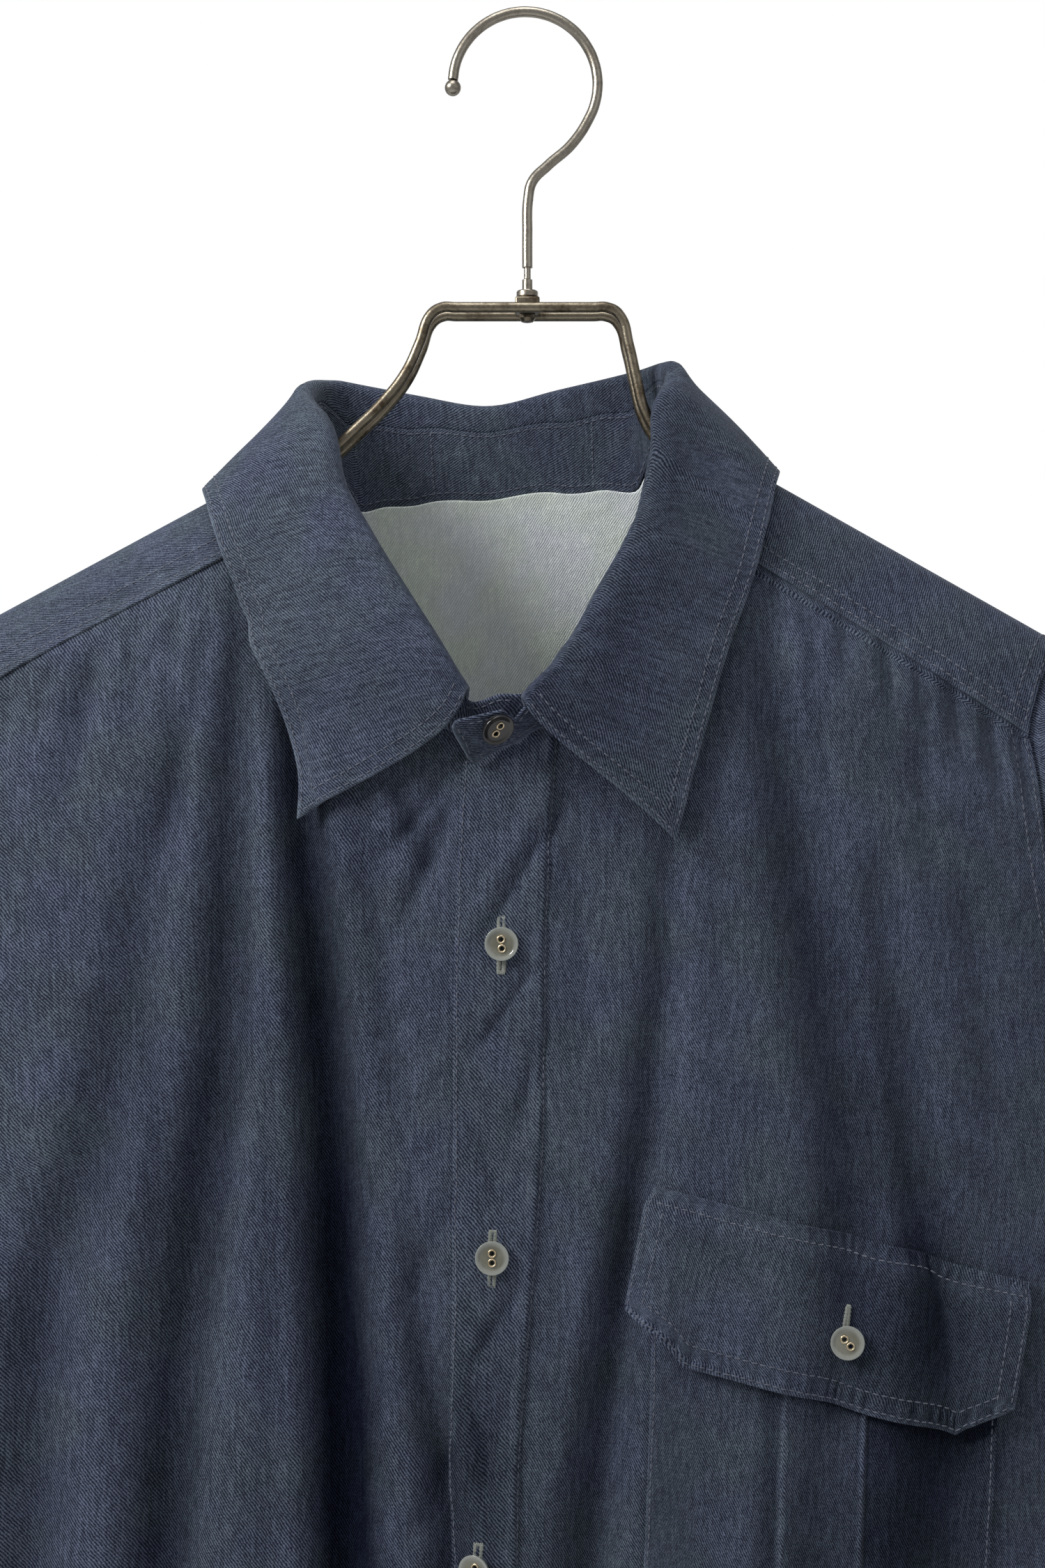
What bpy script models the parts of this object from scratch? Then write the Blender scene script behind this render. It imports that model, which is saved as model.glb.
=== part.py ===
"""A chambray shirt hanging closed on a wire hanger.

Metres, +Z up, -Y is the front. The origin is the inside top of the hanger's hook, where it hangs.
"Right" and "left" are the wearer's, so the wearer's left is +X.
Tables run from top to bottom with `drop`, the distance below the origin, in their first column.
"""

import math
from collections import namedtuple

import bpy
from mathutils import Vector

# ---------------------------------------------------------------- driving dimensions
CLOTH = 0.0012  # thickness of one layer of cloth
COLLAR_CLOTH = 0.0016  # collar and stand are two layers
SEAM_GAP = 0.0003  # between pieces that are sewn edge to edge
LAYER_GAP = 0.0009  # between a panel and what is sewn on it
POCKET_GAP = 0.0016  # the same under the pocket, where the panel is folded
NECK_GAP = 0.0013  # between the neckline and the foot of the stand
LEAF_STEPS = 6  # faces down the fall
FALL_GAP = 0.0010  # between the top of the stand and the fall, along the slanting stand
FALL_INSET = 0.012  # how far the fall starts from the front ends, in t
LEAF_BOW = {-1: 0.0016, +1: -0.0028}  # how far the two leaves' front edges hang below a straight line
NECK_MIDDLE_X = -0.0145
COLLAR_LIFT = 0.0042  # from the body to the middle of the fall
ARMHOLE_GAP = 0.0009  # between the armhole and the sleeve
NECK_BLEND = 0.026  # how far inside the neck the two shoulder lines run on
SHOULDER_ROUNDING = 0.004  # where the shoulder line turns into the side
ROUNDING = 2.5  # exponent of the body's oval sections

SHIRT_LENGTH_CENTRE = 0.925  # hem at the centre front, below the origin
BACK_TAIL = 0.012  # how much longer the back tail is
SIDE_RISE = 0.062  # how far the hem rises at the side seams
UNDERARM_DROP = 0.4565
SLEEVE_END_DROP = 0.765
CUFF_HEIGHT = 0.064

BUTTON_RADIUS = 0.006
BUTTON_THICKNESS = 0.0024
BUTTON_SPACING = 0.1083
FIRST_BUTTON_DROP = 0.3386
FRONT_BUTTONS = 5

WIRE_RADIUS = 0.00193
WIRE_SPACING = 0.015  # between the front and rear wires of the hanger
HOOK_RADIUS = 0.0267  # centre line of the hook's loop
HOOK_X = -0.0008  # the middle of the loop
BALL_RADIUS = 0.0030  # at the hook's tip
STEM_END_DROP = 0.0924
PIN_RADIUS = 0.00125  # the thin end of the hook's stem, held by the nut
PIN_END_DROP = 0.0966

# ---------------------------------------------------------------- tables
Shoulder = namedtuple("Shoulder", "neck_x neck_z tip_x tip_z")
SHOULDERS = {
    -1: Shoulder(-0.0805, -0.1596, -0.2175, -0.2333),
    +1: Shoulder(0.0515, -0.1503, 0.1985, -0.2329),
}
# drop, centre of the body in x, depth in front, depth behind
BODY_DEPTHS = [
    (0.12, -0.0095, 0.022, 0.028),
    (0.16, -0.0095, 0.026, 0.030),
    (0.20, -0.0095, 0.031, 0.033),
    (0.25, -0.0095, 0.037, 0.036),
    (0.30, -0.0095, 0.040, 0.038),
    (0.38, -0.0100, 0.043, 0.041),
    (0.46, -0.0110, 0.046, 0.043),
    (0.56, -0.0125, 0.048, 0.044),
    (0.70, -0.0160, 0.047, 0.043),
    (0.95, -0.0180, 0.043, 0.040),
]
# drop, half the body's width below the shoulders
BODY_WIDTHS = [
    (0.12, 0.190),
    (0.20, 0.206),
    (0.24, 0.2140),
    (0.30, 0.2270),
    (0.38, 0.2430),
    (0.4565, 0.2552),
    (0.56, 0.2570),
    (0.70, 0.2540),
    (0.95, 0.2510),
]
# drop, left edge and right edge in x of the placket strip
PLACKET_EDGES = [
    (0.2700, -0.0222, 0.0105),
    (0.3000, -0.0240, 0.0083),
    (0.3400, -0.0256, 0.0068),
    (0.4000, -0.0261, 0.0060),
    (0.4400, -0.0261, 0.0036),
    (0.4800, -0.0262, 0.0002),
    (0.5200, -0.0264, -0.0028),
    (0.5600, -0.0268, -0.0034),
    (0.6600, -0.0310, -0.0040),
    (0.7800, -0.0350, -0.0045),
    (0.9300, -0.0370, -0.0050),
]
# Folds of the panels: (drop, x, half width, depth) from top to bottom.
FRONT_FOLDS = {
    "right_wide": [
        (0.206, -0.1040, 0.0045, 0.0000),
        (0.245, -0.1022, 0.0065, 0.0035),
        (0.279, -0.1030, 0.0095, 0.0058),
        (0.326, -0.1045, 0.0112, 0.0072),
        (0.371, -0.1058, 0.0124, 0.0085),
        (0.415, -0.1126, 0.0134, 0.0095),
        (0.475, -0.1196, 0.0142, 0.0105),
        (0.549, -0.1272, 0.0146, 0.0110),
        (0.700, -0.1380, 0.0165, 0.0095),
        (0.950, -0.1460, 0.0200, 0.0070),
    ],
    "right_deep": [
        (0.187, -0.0830, 0.0070, 0.0000),
        (0.235, -0.0850, 0.0070, 0.0000),
        (0.267, -0.0826, 0.0086, 0.0070),
        (0.298, -0.0796, 0.0098, 0.0100),
        (0.338, -0.0755, 0.0108, 0.0120),
        (0.400, -0.0702, 0.0116, 0.0130),
        (0.475, -0.0668, 0.0120, 0.0135),
        (0.549, -0.0645, 0.0122, 0.0135),
        (0.700, -0.0610, 0.0135, 0.0115),
        (0.950, -0.0620, 0.0160, 0.0070),
    ],
    "right_soft": [
        (0.262, -0.1230, 0.0100, 0.0000),
        (0.308, -0.1323, 0.0120, 0.0035),
        (0.363, -0.1414, 0.0135, 0.0050),
        (0.415, -0.1549, 0.0140, 0.0065),
        (0.460, -0.1682, 0.0140, 0.0075),
        (0.505, -0.1744, 0.0140, 0.0080),
        (0.560, -0.1760, 0.0150, 0.0080),
        (0.700, -0.1900, 0.0180, 0.0070),
        (0.950, -0.1980, 0.0200, 0.0060),
    ],
    "beside_placket": [
        (0.420, -0.0400, 0.0070, 0.0000),
        (0.470, -0.0375, 0.0072, 0.0045),
        (0.515, -0.0355, 0.0075, 0.0065),
        (0.560, -0.0345, 0.0080, 0.0070),
        (0.700, -0.0420, 0.0090, 0.0060),
        (0.950, -0.0460, 0.0120, 0.0040),
    ],
    "left_inner": [
        (0.188, 0.0590, 0.0075, 0.0000),
        (0.210, 0.0650, 0.0075, 0.0000),
        (0.240, 0.0640, 0.0075, 0.0000),
        (0.286, 0.0560, 0.0075, 0.0000),
        (0.308, 0.0505, 0.0078, 0.0030),
        (0.350, 0.0487, 0.0082, 0.0050),
        (0.375, 0.0450, 0.0083, 0.0055),
        (0.400, 0.0430, 0.0084, 0.0060),
        (0.434, 0.0370, 0.0084, 0.0070),
        (0.471, 0.0312, 0.0092, 0.0088),
        (0.522, 0.0243, 0.0100, 0.0098),
        (0.560, 0.0214, 0.0104, 0.0100),
        (0.700, 0.0240, 0.0120, 0.0080),
        (0.950, 0.0260, 0.0145, 0.0060),
    ],
    "left_wide": [
        (0.198, 0.0820, 0.0060, 0.0000),
        (0.240, 0.0860, 0.0090, 0.0040),
        (0.277, 0.0920, 0.0115, 0.0062),
        (0.314, 0.0985, 0.0132, 0.0070),
        (0.350, 0.1055, 0.0140, 0.0070),
        (0.375, 0.1104, 0.0142, 0.0070),
        (0.424, 0.1152, 0.0138, 0.0062),
        (0.480, 0.1085, 0.0136, 0.0048),
        (0.560, 0.1010, 0.0140, 0.0050),
        (0.700, 0.1050, 0.0165, 0.0065),
        (0.950, 0.1120, 0.0200, 0.0060),
    ],
    "left_outer": [
        (0.300, 0.1220, 0.0075, 0.0000),
        (0.330, 0.1245, 0.0085, 0.0030),
        (0.363, 0.1297, 0.0095, 0.0050),
        (0.424, 0.1362, 0.0104, 0.0062),
        (0.470, 0.1440, 0.0118, 0.0050),
        (0.510, 0.1465, 0.0130, 0.0042),
        (0.600, 0.1500, 0.0130, 0.0050),
        (0.950, 0.1640, 0.0200, 0.0060),
    ],
}
# Short gathers below the left yoke seam: x at the top and bottom, drop at the top and bottom, depth.
Gather = namedtuple("Gather", "top_x bottom_x top_drop bottom_drop half_width depth")
LEFT_GATHERS = [
    Gather(0.1120, 0.1140, 0.2210, 0.2480, 0.0035, 0.0012),
    Gather(0.1270, 0.1310, 0.2300, 0.2700, 0.0038, 0.0018),
    Gather(0.1510, 0.1550, 0.2460, 0.2760, 0.0038, 0.0020),
    Gather(0.1640, 0.1710, 0.2560, 0.2990, 0.0040, 0.0024),
    Gather(0.1750, 0.1820, 0.2630, 0.3000, 0.0036, 0.0022),
]
BACK_FOLDS = {
    "back_right_pleat": [
        (0.270, -0.0620, 0.0060, 0.0000),
        (0.300, -0.0640, 0.0080, 0.0050),
        (0.450, -0.0720, 0.0120, 0.0080),
        (0.700, -0.0800, 0.0160, 0.0080),
        (0.950, -0.0860, 0.0200, 0.0060),
    ],
    "back_left_pleat": [
        (0.270, 0.0420, 0.0060, 0.0000),
        (0.300, 0.0440, 0.0080, 0.0050),
        (0.450, 0.0500, 0.0120, 0.0075),
        (0.700, 0.0560, 0.0160, 0.0080),
        (0.950, 0.0640, 0.0200, 0.0060),
    ],
    "back_right_soft": [
        (0.330, -0.1480, 0.0120, 0.0000),
        (0.450, -0.1600, 0.0150, 0.0060),
        (0.700, -0.1760, 0.0180, 0.0070),
        (0.950, -0.1840, 0.0200, 0.0050),
    ],
    "back_left_soft": [
        (0.310, 0.1280, 0.0120, 0.0000),
        (0.450, 0.1440, 0.0150, 0.0060),
        (0.700, 0.1560, 0.0180, 0.0070),
        (0.950, 0.1640, 0.0200, 0.0050),
    ],
}
# The collar from the wearer's right front end (t 0) round the back to the left front end (t 1).
# `face` says where the neckline and the fall's edge lie: 1 front, 0 on the shoulder ridge, -1 back.
Station = namedtuple(
    "Station", "t face neck_x neck_z roll_x roll_y roll_z stand roll_radius edge_x edge_z"
)
COLLAR = [
    Station(0.00, 1, -0.0195, -0.2695, -0.0192, -0.0475, -0.2525, 0.0135, 0.0018, -0.0790, -0.2951),
    Station(0.07, 1, -0.0400, -0.2575, -0.0286, -0.0450, -0.2358, 0.0165, 0.0026, -0.0868, -0.2654),
    Station(0.15, 1, -0.0620, -0.2365, -0.0414, -0.0400, -0.2157, 0.0210, 0.0032, -0.0936, -0.2400),
    Station(0.23, 1, -0.0775, -0.2110, -0.0546, -0.0325, -0.1950, 0.0195, 0.0036, -0.1013, -0.2184),
    Station(0.31, 1, -0.0830, -0.1874, -0.0668, -0.0240, -0.1735, 0.0150, 0.0036, -0.1091, -0.1991),
    Station(0.335, 1, -0.0828, -0.1690, -0.0738, -0.0135, -0.1570, 0.0135, 0.0036, -0.1135, -0.1860),
    Station(0.36, 0, -0.0805, -0.1596, -0.0790, 0.0020, -0.1375, 0.0150, 0.0038, -0.1160, -0.1787),
    Station(0.42, -1, -0.0655, -0.1757, -0.0726, 0.0230, -0.1302, 0.0315, 0.0038, -0.0950, -0.1900),
    Station(0.46, -1, -0.0400, -0.1762, -0.0436, 0.0330, -0.1334, 0.0280, 0.0038, -0.0520, -0.1880),
    Station(0.50, -1, -0.0140, -0.1742, -0.0150, 0.0360, -0.1370, 0.0255, 0.0038, -0.0130, -0.1870),
    Station(0.54, -1, 0.0130, -0.1710, 0.0119, 0.0330, -0.1315, 0.0262, 0.0038, 0.0220, -0.1840),
    Station(0.58, -1, 0.0430, -0.1686, 0.0410, 0.0245, -0.1264, 0.0290, 0.0038, 0.0660, -0.1840),
    Station(0.64, 0, 0.0515, -0.1503, 0.0507, 0.0020, -0.1290, 0.0145, 0.0038, 0.0894, -0.1715),
    Station(0.665, 1, 0.0560, -0.1610, 0.0487, -0.0125, -0.1480, 0.0135, 0.0036, 0.0875, -0.1795),
    Station(0.69, 1, 0.0590, -0.1887, 0.0445, -0.0230, -0.1680, 0.0160, 0.0036, 0.0839, -0.1947),
    Station(0.77, 1, 0.0560, -0.2120, 0.0365, -0.0320, -0.1948, 0.0195, 0.0036, 0.0771, -0.2157),
    Station(0.85, 1, 0.0420, -0.2360, 0.0245, -0.0375, -0.2180, 0.0200, 0.0032, 0.0690, -0.2400),
    Station(0.93, 1, 0.0220, -0.2555, 0.0100, -0.0440, -0.2380, 0.0150, 0.0026, 0.0600, -0.2720),
    Station(1.00, 1, -0.0030, -0.2675, -0.0047, -0.0480, -0.2553, 0.0086, 0.0024, 0.0519, -0.3022),
]
YOKE_T = {-1: (0.31, 0.36, 0.40), +1: (0.69, 0.64, 0.60)}  # front corner, ridge and back corner, by the same t
# Where the yoke's seams reach the armholes, as (x, z).
FRONT_CORNERS = {-1: (-0.1980, -0.2484), +1: (0.1793, -0.2637)}
BACK_CORNERS = {-1: (-0.2050, -0.2680), +1: (0.1860, -0.2680)}
# The same t for the pieces round the neck: closely spaced over the shoulders.
NECK_STEPS = [0.31, 0.325, 0.3375, 0.3475, 0.354, 0.36, 0.366, 0.3735, 0.386, 0.40, 0.413, 0.427, 0.444, 0.47]
# The fronts' columns follow their folds: folds from the placket outward, and columns between them.
FRONT_LINES = {-1: ("right_deep", "right_wide", "right_soft"), +1: ("left_inner", "left_wide", "left_outer")}
FRONT_COLUMNS = {-1: (13, 7, 6, 9), +1: (9, 9, 5, 12)}
BACK_LINES = ("back_right_soft", "back_right_pleat", "back_left_pleat", "back_left_soft")
BACK_COLUMNS = (6, 5, 7, 5, 6)
# Armhole edges below the yoke, from the yoke seam to the underarm: (distance from the centre, drop).
FRONT_ARMHOLE = [(0.1925, 0.2835), (0.1985, 0.330), (0.2085, 0.380), (0.2235, 0.4210), (0.2340, 0.4375), (0.2430, 0.4485)]
BACK_ARMHOLE = [(0.1955, 0.300), (0.2010, 0.350), (0.2120, 0.400), (0.2320, 0.437), (0.2470, 0.4520)]
# Sleeves: outer and inner edge of each section as (x from the body's centre, drop), half depth.
Ring = namedtuple("Ring", "outer_x outer_drop inner_x inner_drop half_depth")
SLEEVE_RINGS = [
    Ring(0.2330, 0.2430, 0.2590, 0.4600, 0.0420),
    Ring(0.2680, 0.2700, 0.2615, 0.4670, 0.0460),
    Ring(0.3020, 0.3150, 0.2630, 0.4780, 0.0480),
    Ring(0.3280, 0.3700, 0.2645, 0.4930, 0.0490),
    Ring(0.3490, 0.4400, 0.2670, 0.5200, 0.0485),
    Ring(0.3620, 0.5200, 0.2690, 0.5650, 0.0470),
    Ring(0.3680, 0.6000, 0.2700, 0.6250, 0.0440),
    Ring(0.3690, 0.6800, 0.2715, 0.6880, 0.0410),
    Ring(0.3650, 0.7350, 0.2740, 0.7350, 0.0380),
    Ring(0.3600, SLEEVE_END_DROP, 0.2780, SLEEVE_END_DROP, 0.0330),
]
# Pocket flap and pocket on the left front, in the pocket's own slanted frame.
POCKET_CORNER = (0.0457, -0.4228)
POCKET_ACROSS = (0.9650, -0.2600)
POCKET_DOWN = (-0.1650, -0.9860)
POCKET_DOWN_BELOW = (-0.0450, -0.9990)
FLAP_WIDTH = 0.1353
FLAP_HEIGHT = 0.0575
FLAP_CORNER = 0.0180
FLAP_CORNER_RISE = 0.0140
FLAP_BUTTON = (0.0742, 0.0349)
FLAP_LIFT = 0.0046  # how far the flap stands over the pocket
POCKET_WIDTH = 0.1250
POCKET_INSET = 0.0003
POCKET_TOP = 0.0170
POCKET_HEIGHT = 0.1500
POCKET_CLIP = 0.0180
PLEAT_WIDTH = 0.0310
PLEAT_RISE = 0.0009
# drop, x of the front buttons
BUTTON_COLUMN = [(0.3386, -0.0089), (0.4470, -0.0123), (0.5550, -0.0166), (0.6640, -0.0180), (0.7720, -0.0195)]
# Hanger from the centre outward: (x, z) of the wire in the front view.
HANGER_LEGS = {
    -1: [(-0.0310, -0.1087), (-0.0352, -0.1112), (-0.0395, -0.1219), (-0.0445, -0.1325),
         (-0.0524, -0.1428), (-0.0620, -0.1523)],
    +1: [(0.0290, -0.1087), (0.0333, -0.1110), (0.0372, -0.1229), (0.0400, -0.1355),
         (0.0430, -0.1465), (0.0490, -0.1558)],
}
ARM_UNDER_RIDGE = 0.0068  # from the shoulder's ridge down to the wire's centre
ARM_REACH = 0.182  # from the body's centre to where the wire turns back
# Below the stem, as (radius, height): the nut with its sleeve, and the rivet's head under the block.
NUT_PROFILE = [(0, -0.0970), (0.0019, -0.0970), (0.0019, -0.1011), (0.0037, -0.1011), (0.0040, -0.1015),
               (0.0040, -0.1032), (0.0037, -0.1036), (0, -0.1036)]
RIVET_PROFILE = [(0, -0.1099), (0.0030, -0.1099), (0.0030, -0.1112), (0.0022, -0.1124), (0, -0.1128)]
BLOCK_WIDTH = 0.0090
BLOCK_HEIGHTS = (-0.1040, -0.1095)
HOOK_ROUTE = [(0.0164, -0.0469), (0.0075, -0.0548), (0.0018, -0.0608), (0.0003, -0.0674), (0.0, -0.0800)]


# ---------------------------------------------------------------- helpers
def along(rows, key):
    """Smooth values from a table whose first column rises, as a list of its other columns."""
    if key <= rows[0][0]:
        return list(rows[0][1:])
    if key >= rows[-1][0]:
        return list(rows[-1][1:])
    index = 0
    while rows[index + 1][0] < key:
        index += 1
    before, after = rows[index], rows[index + 1]
    span = after[0] - before[0]
    part = (key - before[0]) / span

    def slope(at, column):
        low, high = max(at - 1, 0), min(at + 1, len(rows) - 1)
        return (rows[high][column] - rows[low][column]) / (rows[high][0] - rows[low][0])

    values = []
    for column in range(1, len(before)):
        start, end = before[column], after[column]
        values.append(
            start * (1 + 2 * part) * (1 - part) ** 2
            + end * part * part * (3 - 2 * part)
            + slope(index, column) * span * part * (1 - part) ** 2
            - slope(index + 1, column) * span * part * part * (1 - part)
        )
    return values


def straight(rows, key):
    """Straight-line values from such a table."""
    if key <= rows[0][0]:
        return list(rows[0][1:])
    for before, after in zip(rows, rows[1:]):
        if key <= after[0]:
            part = (key - before[0]) / (after[0] - before[0])
            return [a + (b - a) * part for a, b in zip(before[1:], after[1:])]
    return list(rows[-1][1:])


def by_length(points):
    """A route as a table whose first column is the share of its length."""
    reach = [0.0]
    for before, after in zip(points, points[1:]):
        reach.append(reach[-1] + math.dist(before, after))
    return [(length / reach[-1], *point) for length, point in zip(reach, points)]


def ease(value):
    value = min(max(value, 0.0), 1.0)
    return value * value * (3 - 2 * value)


# ---------------------------------------------------------------- the body's form
def centre_x(z):
    return straight(BODY_DEPTHS, -z)[0]


def half_width(z, side):
    """From the body's centre to its edge: the shoulder line above, the side below, rounded where they meet."""
    shoulder = SHOULDERS[side]
    slope = (shoulder.neck_z - shoulder.tip_z) / abs(shoulder.tip_x - shoulder.neck_x)
    line = abs(shoulder.neck_x - centre_x(shoulder.neck_z)) + (shoulder.neck_z - z) / slope
    low = along(BODY_WIDTHS, -z)[0]
    return max((line + low - math.hypot(line - low, SHOULDER_ROUNDING)) / 2, SHOULDER_ROUNDING)


def ridge_z(x):
    """Height of the shoulder line over x, carried on smoothly across the neck."""
    heights = {}
    for side, shoulder in SHOULDERS.items():
        slope = (shoulder.tip_z - shoulder.neck_z) / (shoulder.tip_x - shoulder.neck_x)
        heights[side] = shoulder.neck_z + slope * (x - shoulder.neck_x)
    share = ease((x - SHOULDERS[-1].neck_x - NECK_BLEND) / (SHOULDERS[1].neck_x - SHOULDERS[-1].neck_x - 2 * NECK_BLEND))
    return heights[-1] * (1 - share) + heights[1] * share


def dent(distance, half, deep):
    """A fold's cross-section: a trough with a low ridge on each side."""
    ratio = (distance / half) ** 2
    if ratio > 12:
        return 0.0
    return deep * (1 - 0.45 * ratio) * math.exp(-ratio * 0.8)


def fold_shift(x, z, face):
    shift = 0.0
    for rows in (FRONT_FOLDS if face > 0 else BACK_FOLDS).values():
        if -z <= rows[0][0]:
            continue
        fold_x, half, deep = along(rows, -z)
        shift += dent(x - fold_x, half, deep)
    if face < 0:
        return -shift
    for gather in LEFT_GATHERS:
        part = (-z - gather.top_drop) / (gather.bottom_drop - gather.top_drop)
        if -0.1 < part < 1:
            strength = ease((part + 0.1) / 0.3) * ease((1 - part) / 0.6)
            gather_x = gather.top_x + (gather.bottom_x - gather.top_x) * part
            shift += dent(x - gather_x, gather.half_width, gather.depth * strength)
    return shift


def oval(x, z, face):
    """Centre distance ratio, depth and fold shift of the body at x, z."""
    centre, front, back = straight(BODY_DEPTHS, -z)
    side = 1 if x > centre else -1
    ratio = abs(x - centre) / half_width(z, side)
    shift = fold_shift(x, z, face) * max(1 - min(ratio, 1) ** 8, 0)
    return ratio, front if face > 0 else back, shift


def surface_y(x, z, face):
    ratio, deep, shift = oval(x, z, face)
    plain = deep * max(1 - min(ratio, 1) ** ROUNDING, 0) ** (1 / ROUNDING)
    return -face * plain + shift


def level(x, y, z, face):
    """Above 1 outside the body, below 1 inside it."""
    ratio, deep, shift = oval(x, z, face)
    return (ratio**ROUNDING + (abs(y - shift) / deep) ** ROUNDING) ** (1 / ROUNDING)


def outward(point, face):
    step = 0.0002
    x, y, z = point
    slope = Vector((
        level(x + step, y, z, face) - level(x - step, y, z, face),
        level(x, y + step, z, face) - level(x, y - step, z, face),
        level(x, y, z + step, face) - level(x, y, z - step, face),
    ))
    return slope.normalized()


def on_body(x, z, face):
    return Vector((x, surface_y(x, z, face), z))


def lifted(x, z, face, lift):
    point = on_body(x, z, face)
    return point + outward(point, face) * lift


def around(x, turn):
    """A point over the shoulder: turn 0 is the ridge, above 0 in front, below 0 behind."""
    z = ridge_z(x) - turn * turn
    return on_body(x, z, 1 if turn > 0 else -1) if turn else Vector((x, 0.0, z))


def turn_of(x, z, face):
    return face * math.sqrt(max(ridge_z(x) - z, 0.0))


# ---------------------------------------------------------------- making meshes
def finish(name, points, faces, material):
    """Makes a closed mesh an object, with its faces pointing out."""
    volume = sum(points[a].dot(points[b].cross(points[c])) for a, b, c in faces)
    if volume < 0:
        faces = [(a, c, b) for a, b, c in faces]
    mesh = bpy.data.meshes.new(name)
    mesh.from_pydata([tuple(point) for point in points], [], faces)
    mesh.update()
    mesh.shade_smooth()
    mesh.set_sharp_from_angle(angle=math.radians(50))
    mesh.materials.append(material)
    thing = bpy.data.objects.new(name, mesh)
    bpy.context.scene.collection.objects.link(thing)
    return thing


def wall(name, outer, inner, material, closed=False):
    """A cloth wall between two grids of points of the same size. A closed grid is a tube across its columns."""
    rows, columns = len(outer), len(outer[0])
    points = [point for grid in (outer, inner) for row in grid for point in row]
    layer = rows * columns

    def at(grid, row, column):
        return grid * layer + row * columns + column % columns

    faces = []
    last = columns if closed else columns - 1

    def quad(a, b, c, d):
        faces.extend([(a, b, c), (a, c, d)])

    for row in range(rows - 1):
        for column in range(last):
            a, b = at(0, row, column), at(0, row, column + 1)
            c, d = at(0, row + 1, column + 1), at(0, row + 1, column)
            quad(a, b, c, d)
            faces.extend([(a + layer, c + layer, b + layer), (a + layer, d + layer, c + layer)])
    for column in range(last):
        quad(at(1, 0, column), at(1, 0, column + 1), at(0, 0, column + 1), at(0, 0, column))
        end = rows - 1
        quad(at(0, end, column), at(0, end, column + 1), at(1, end, column + 1), at(1, end, column))
    if not closed:
        for row in range(rows - 1):
            end = columns - 1
            quad(at(0, row, 0), at(0, row + 1, 0), at(1, row + 1, 0), at(1, row, 0))
            quad(at(1, row, end), at(1, row + 1, end), at(0, row + 1, end), at(0, row, end))
    return finish(name, points, faces, material)


def offset_wall(name, middle, thickness, material):
    """A wall around a grid of middle points, by the grid's own normals."""
    rows, columns = len(middle), len(middle[0])
    outer, inner = [], []
    for row in range(rows):
        outer.append([])
        inner.append([])
        for column in range(columns):
            across = middle[row][min(column + 1, columns - 1)] - middle[row][max(column - 1, 0)]
            down = middle[min(row + 1, rows - 1)][column] - middle[max(row - 1, 0)][column]
            normal = across.cross(down).normalized() * thickness / 2
            outer[-1].append(middle[row][column] + normal)
            inner[-1].append(middle[row][column] - normal)
    return wall(name, outer, inner, material)


def turned(name, profile, sides, material, place=(0, 0, 0), axis=(0, 0, 1)):
    """A solid turned from (radius, height) points that start and end on the axis."""
    rotation = Vector((0, 0, 1)).rotation_difference(Vector(axis))
    points = [Vector((0, 0, profile[0][1]))]
    for radius, height in profile[1:-1]:
        for side in range(sides):
            angle = math.tau * side / sides
            points.append(Vector((radius * math.cos(angle), radius * math.sin(angle), height)))
    points.append(Vector((0, 0, profile[-1][1])))
    points = [rotation @ point + Vector(place) for point in points]
    rings = len(profile) - 2
    faces = []
    for side in range(sides):
        after = (side + 1) % sides
        faces.append((0, 1 + side, 1 + after))
        for ring in range(rings - 1):
            a, b = 1 + ring * sides + side, 1 + ring * sides + after
            faces.extend([(a, a + sides, b + sides), (a, b + sides, b)])
        end = 1 + (rings - 1) * sides
        faces.append((end + after, end + side, len(points) - 1))
    return finish(name, points, faces, material)


def swept(name, route, radii, ups, sides, material, loop=False):
    """A round wire along a route, with a direction `up` across it at each point."""
    count = len(route)
    points, faces = [], []
    for index, centre in enumerate(route):
        before = route[index - 1] if loop or index else centre
        after = route[(index + 1) % count] if loop or index < count - 1 else centre
        ahead = (after - before).normalized()
        up = (ups[index] - ahead * ups[index].dot(ahead)).normalized()
        beside = ahead.cross(up)
        for side in range(sides):
            angle = math.tau * side / sides
            points.append(centre + (up * math.cos(angle) + beside * math.sin(angle)) * radii[index])
    for index in range(count if loop else count - 1):
        for side in range(sides):
            a = index * sides + side
            b = index * sides + (side + 1) % sides
            c = (index + 1) % count * sides + (side + 1) % sides
            d = (index + 1) % count * sides + side
            faces.extend([(a, b, c), (a, c, d)])
    if not loop:
        for ring, order in ((0, -1), (count - 1, 1)):
            middle = len(points)
            points.append(route[ring].copy())
            for side in range(sides):
                pair = (ring * sides + side, ring * sides + (side + 1) % sides)[::order]
                faces.append((middle, *pair))
    return finish(name, points, faces, material)


def material(name, colour, roughness, metallic=0.0):
    made = bpy.data.materials.new(name)
    made.use_nodes = True
    shader = made.node_tree.nodes["Principled BSDF"]
    shader.inputs["Base Color"].default_value = (*colour, 1)
    shader.inputs["Roughness"].default_value = roughness
    shader.inputs["Metallic"].default_value = metallic
    return made


# ---------------------------------------------------------------- neckline and collar
def collar_column(t, names):
    rows = [(station.t, *[getattr(station, name) for name in names]) for station in COLLAR]
    return along(rows, t)


def neck_turn(t):
    """x and turn of the neckline at t."""
    rows = [(s.t, s.neck_x, turn_of(s.neck_x, s.neck_z, s.face)) for s in COLLAR]
    return along(rows, t)


def neck_point(t):
    return around(*neck_turn(t))


def edge_point(t, lift):
    rows = [(s.t, s.edge_x, turn_of(s.edge_x, s.edge_z, s.face)) for s in COLLAR]
    x, turn = along(rows, t)
    point = around(x, turn)
    return point + outward(point, 1 if turn > 0 else -1) * lift


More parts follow.
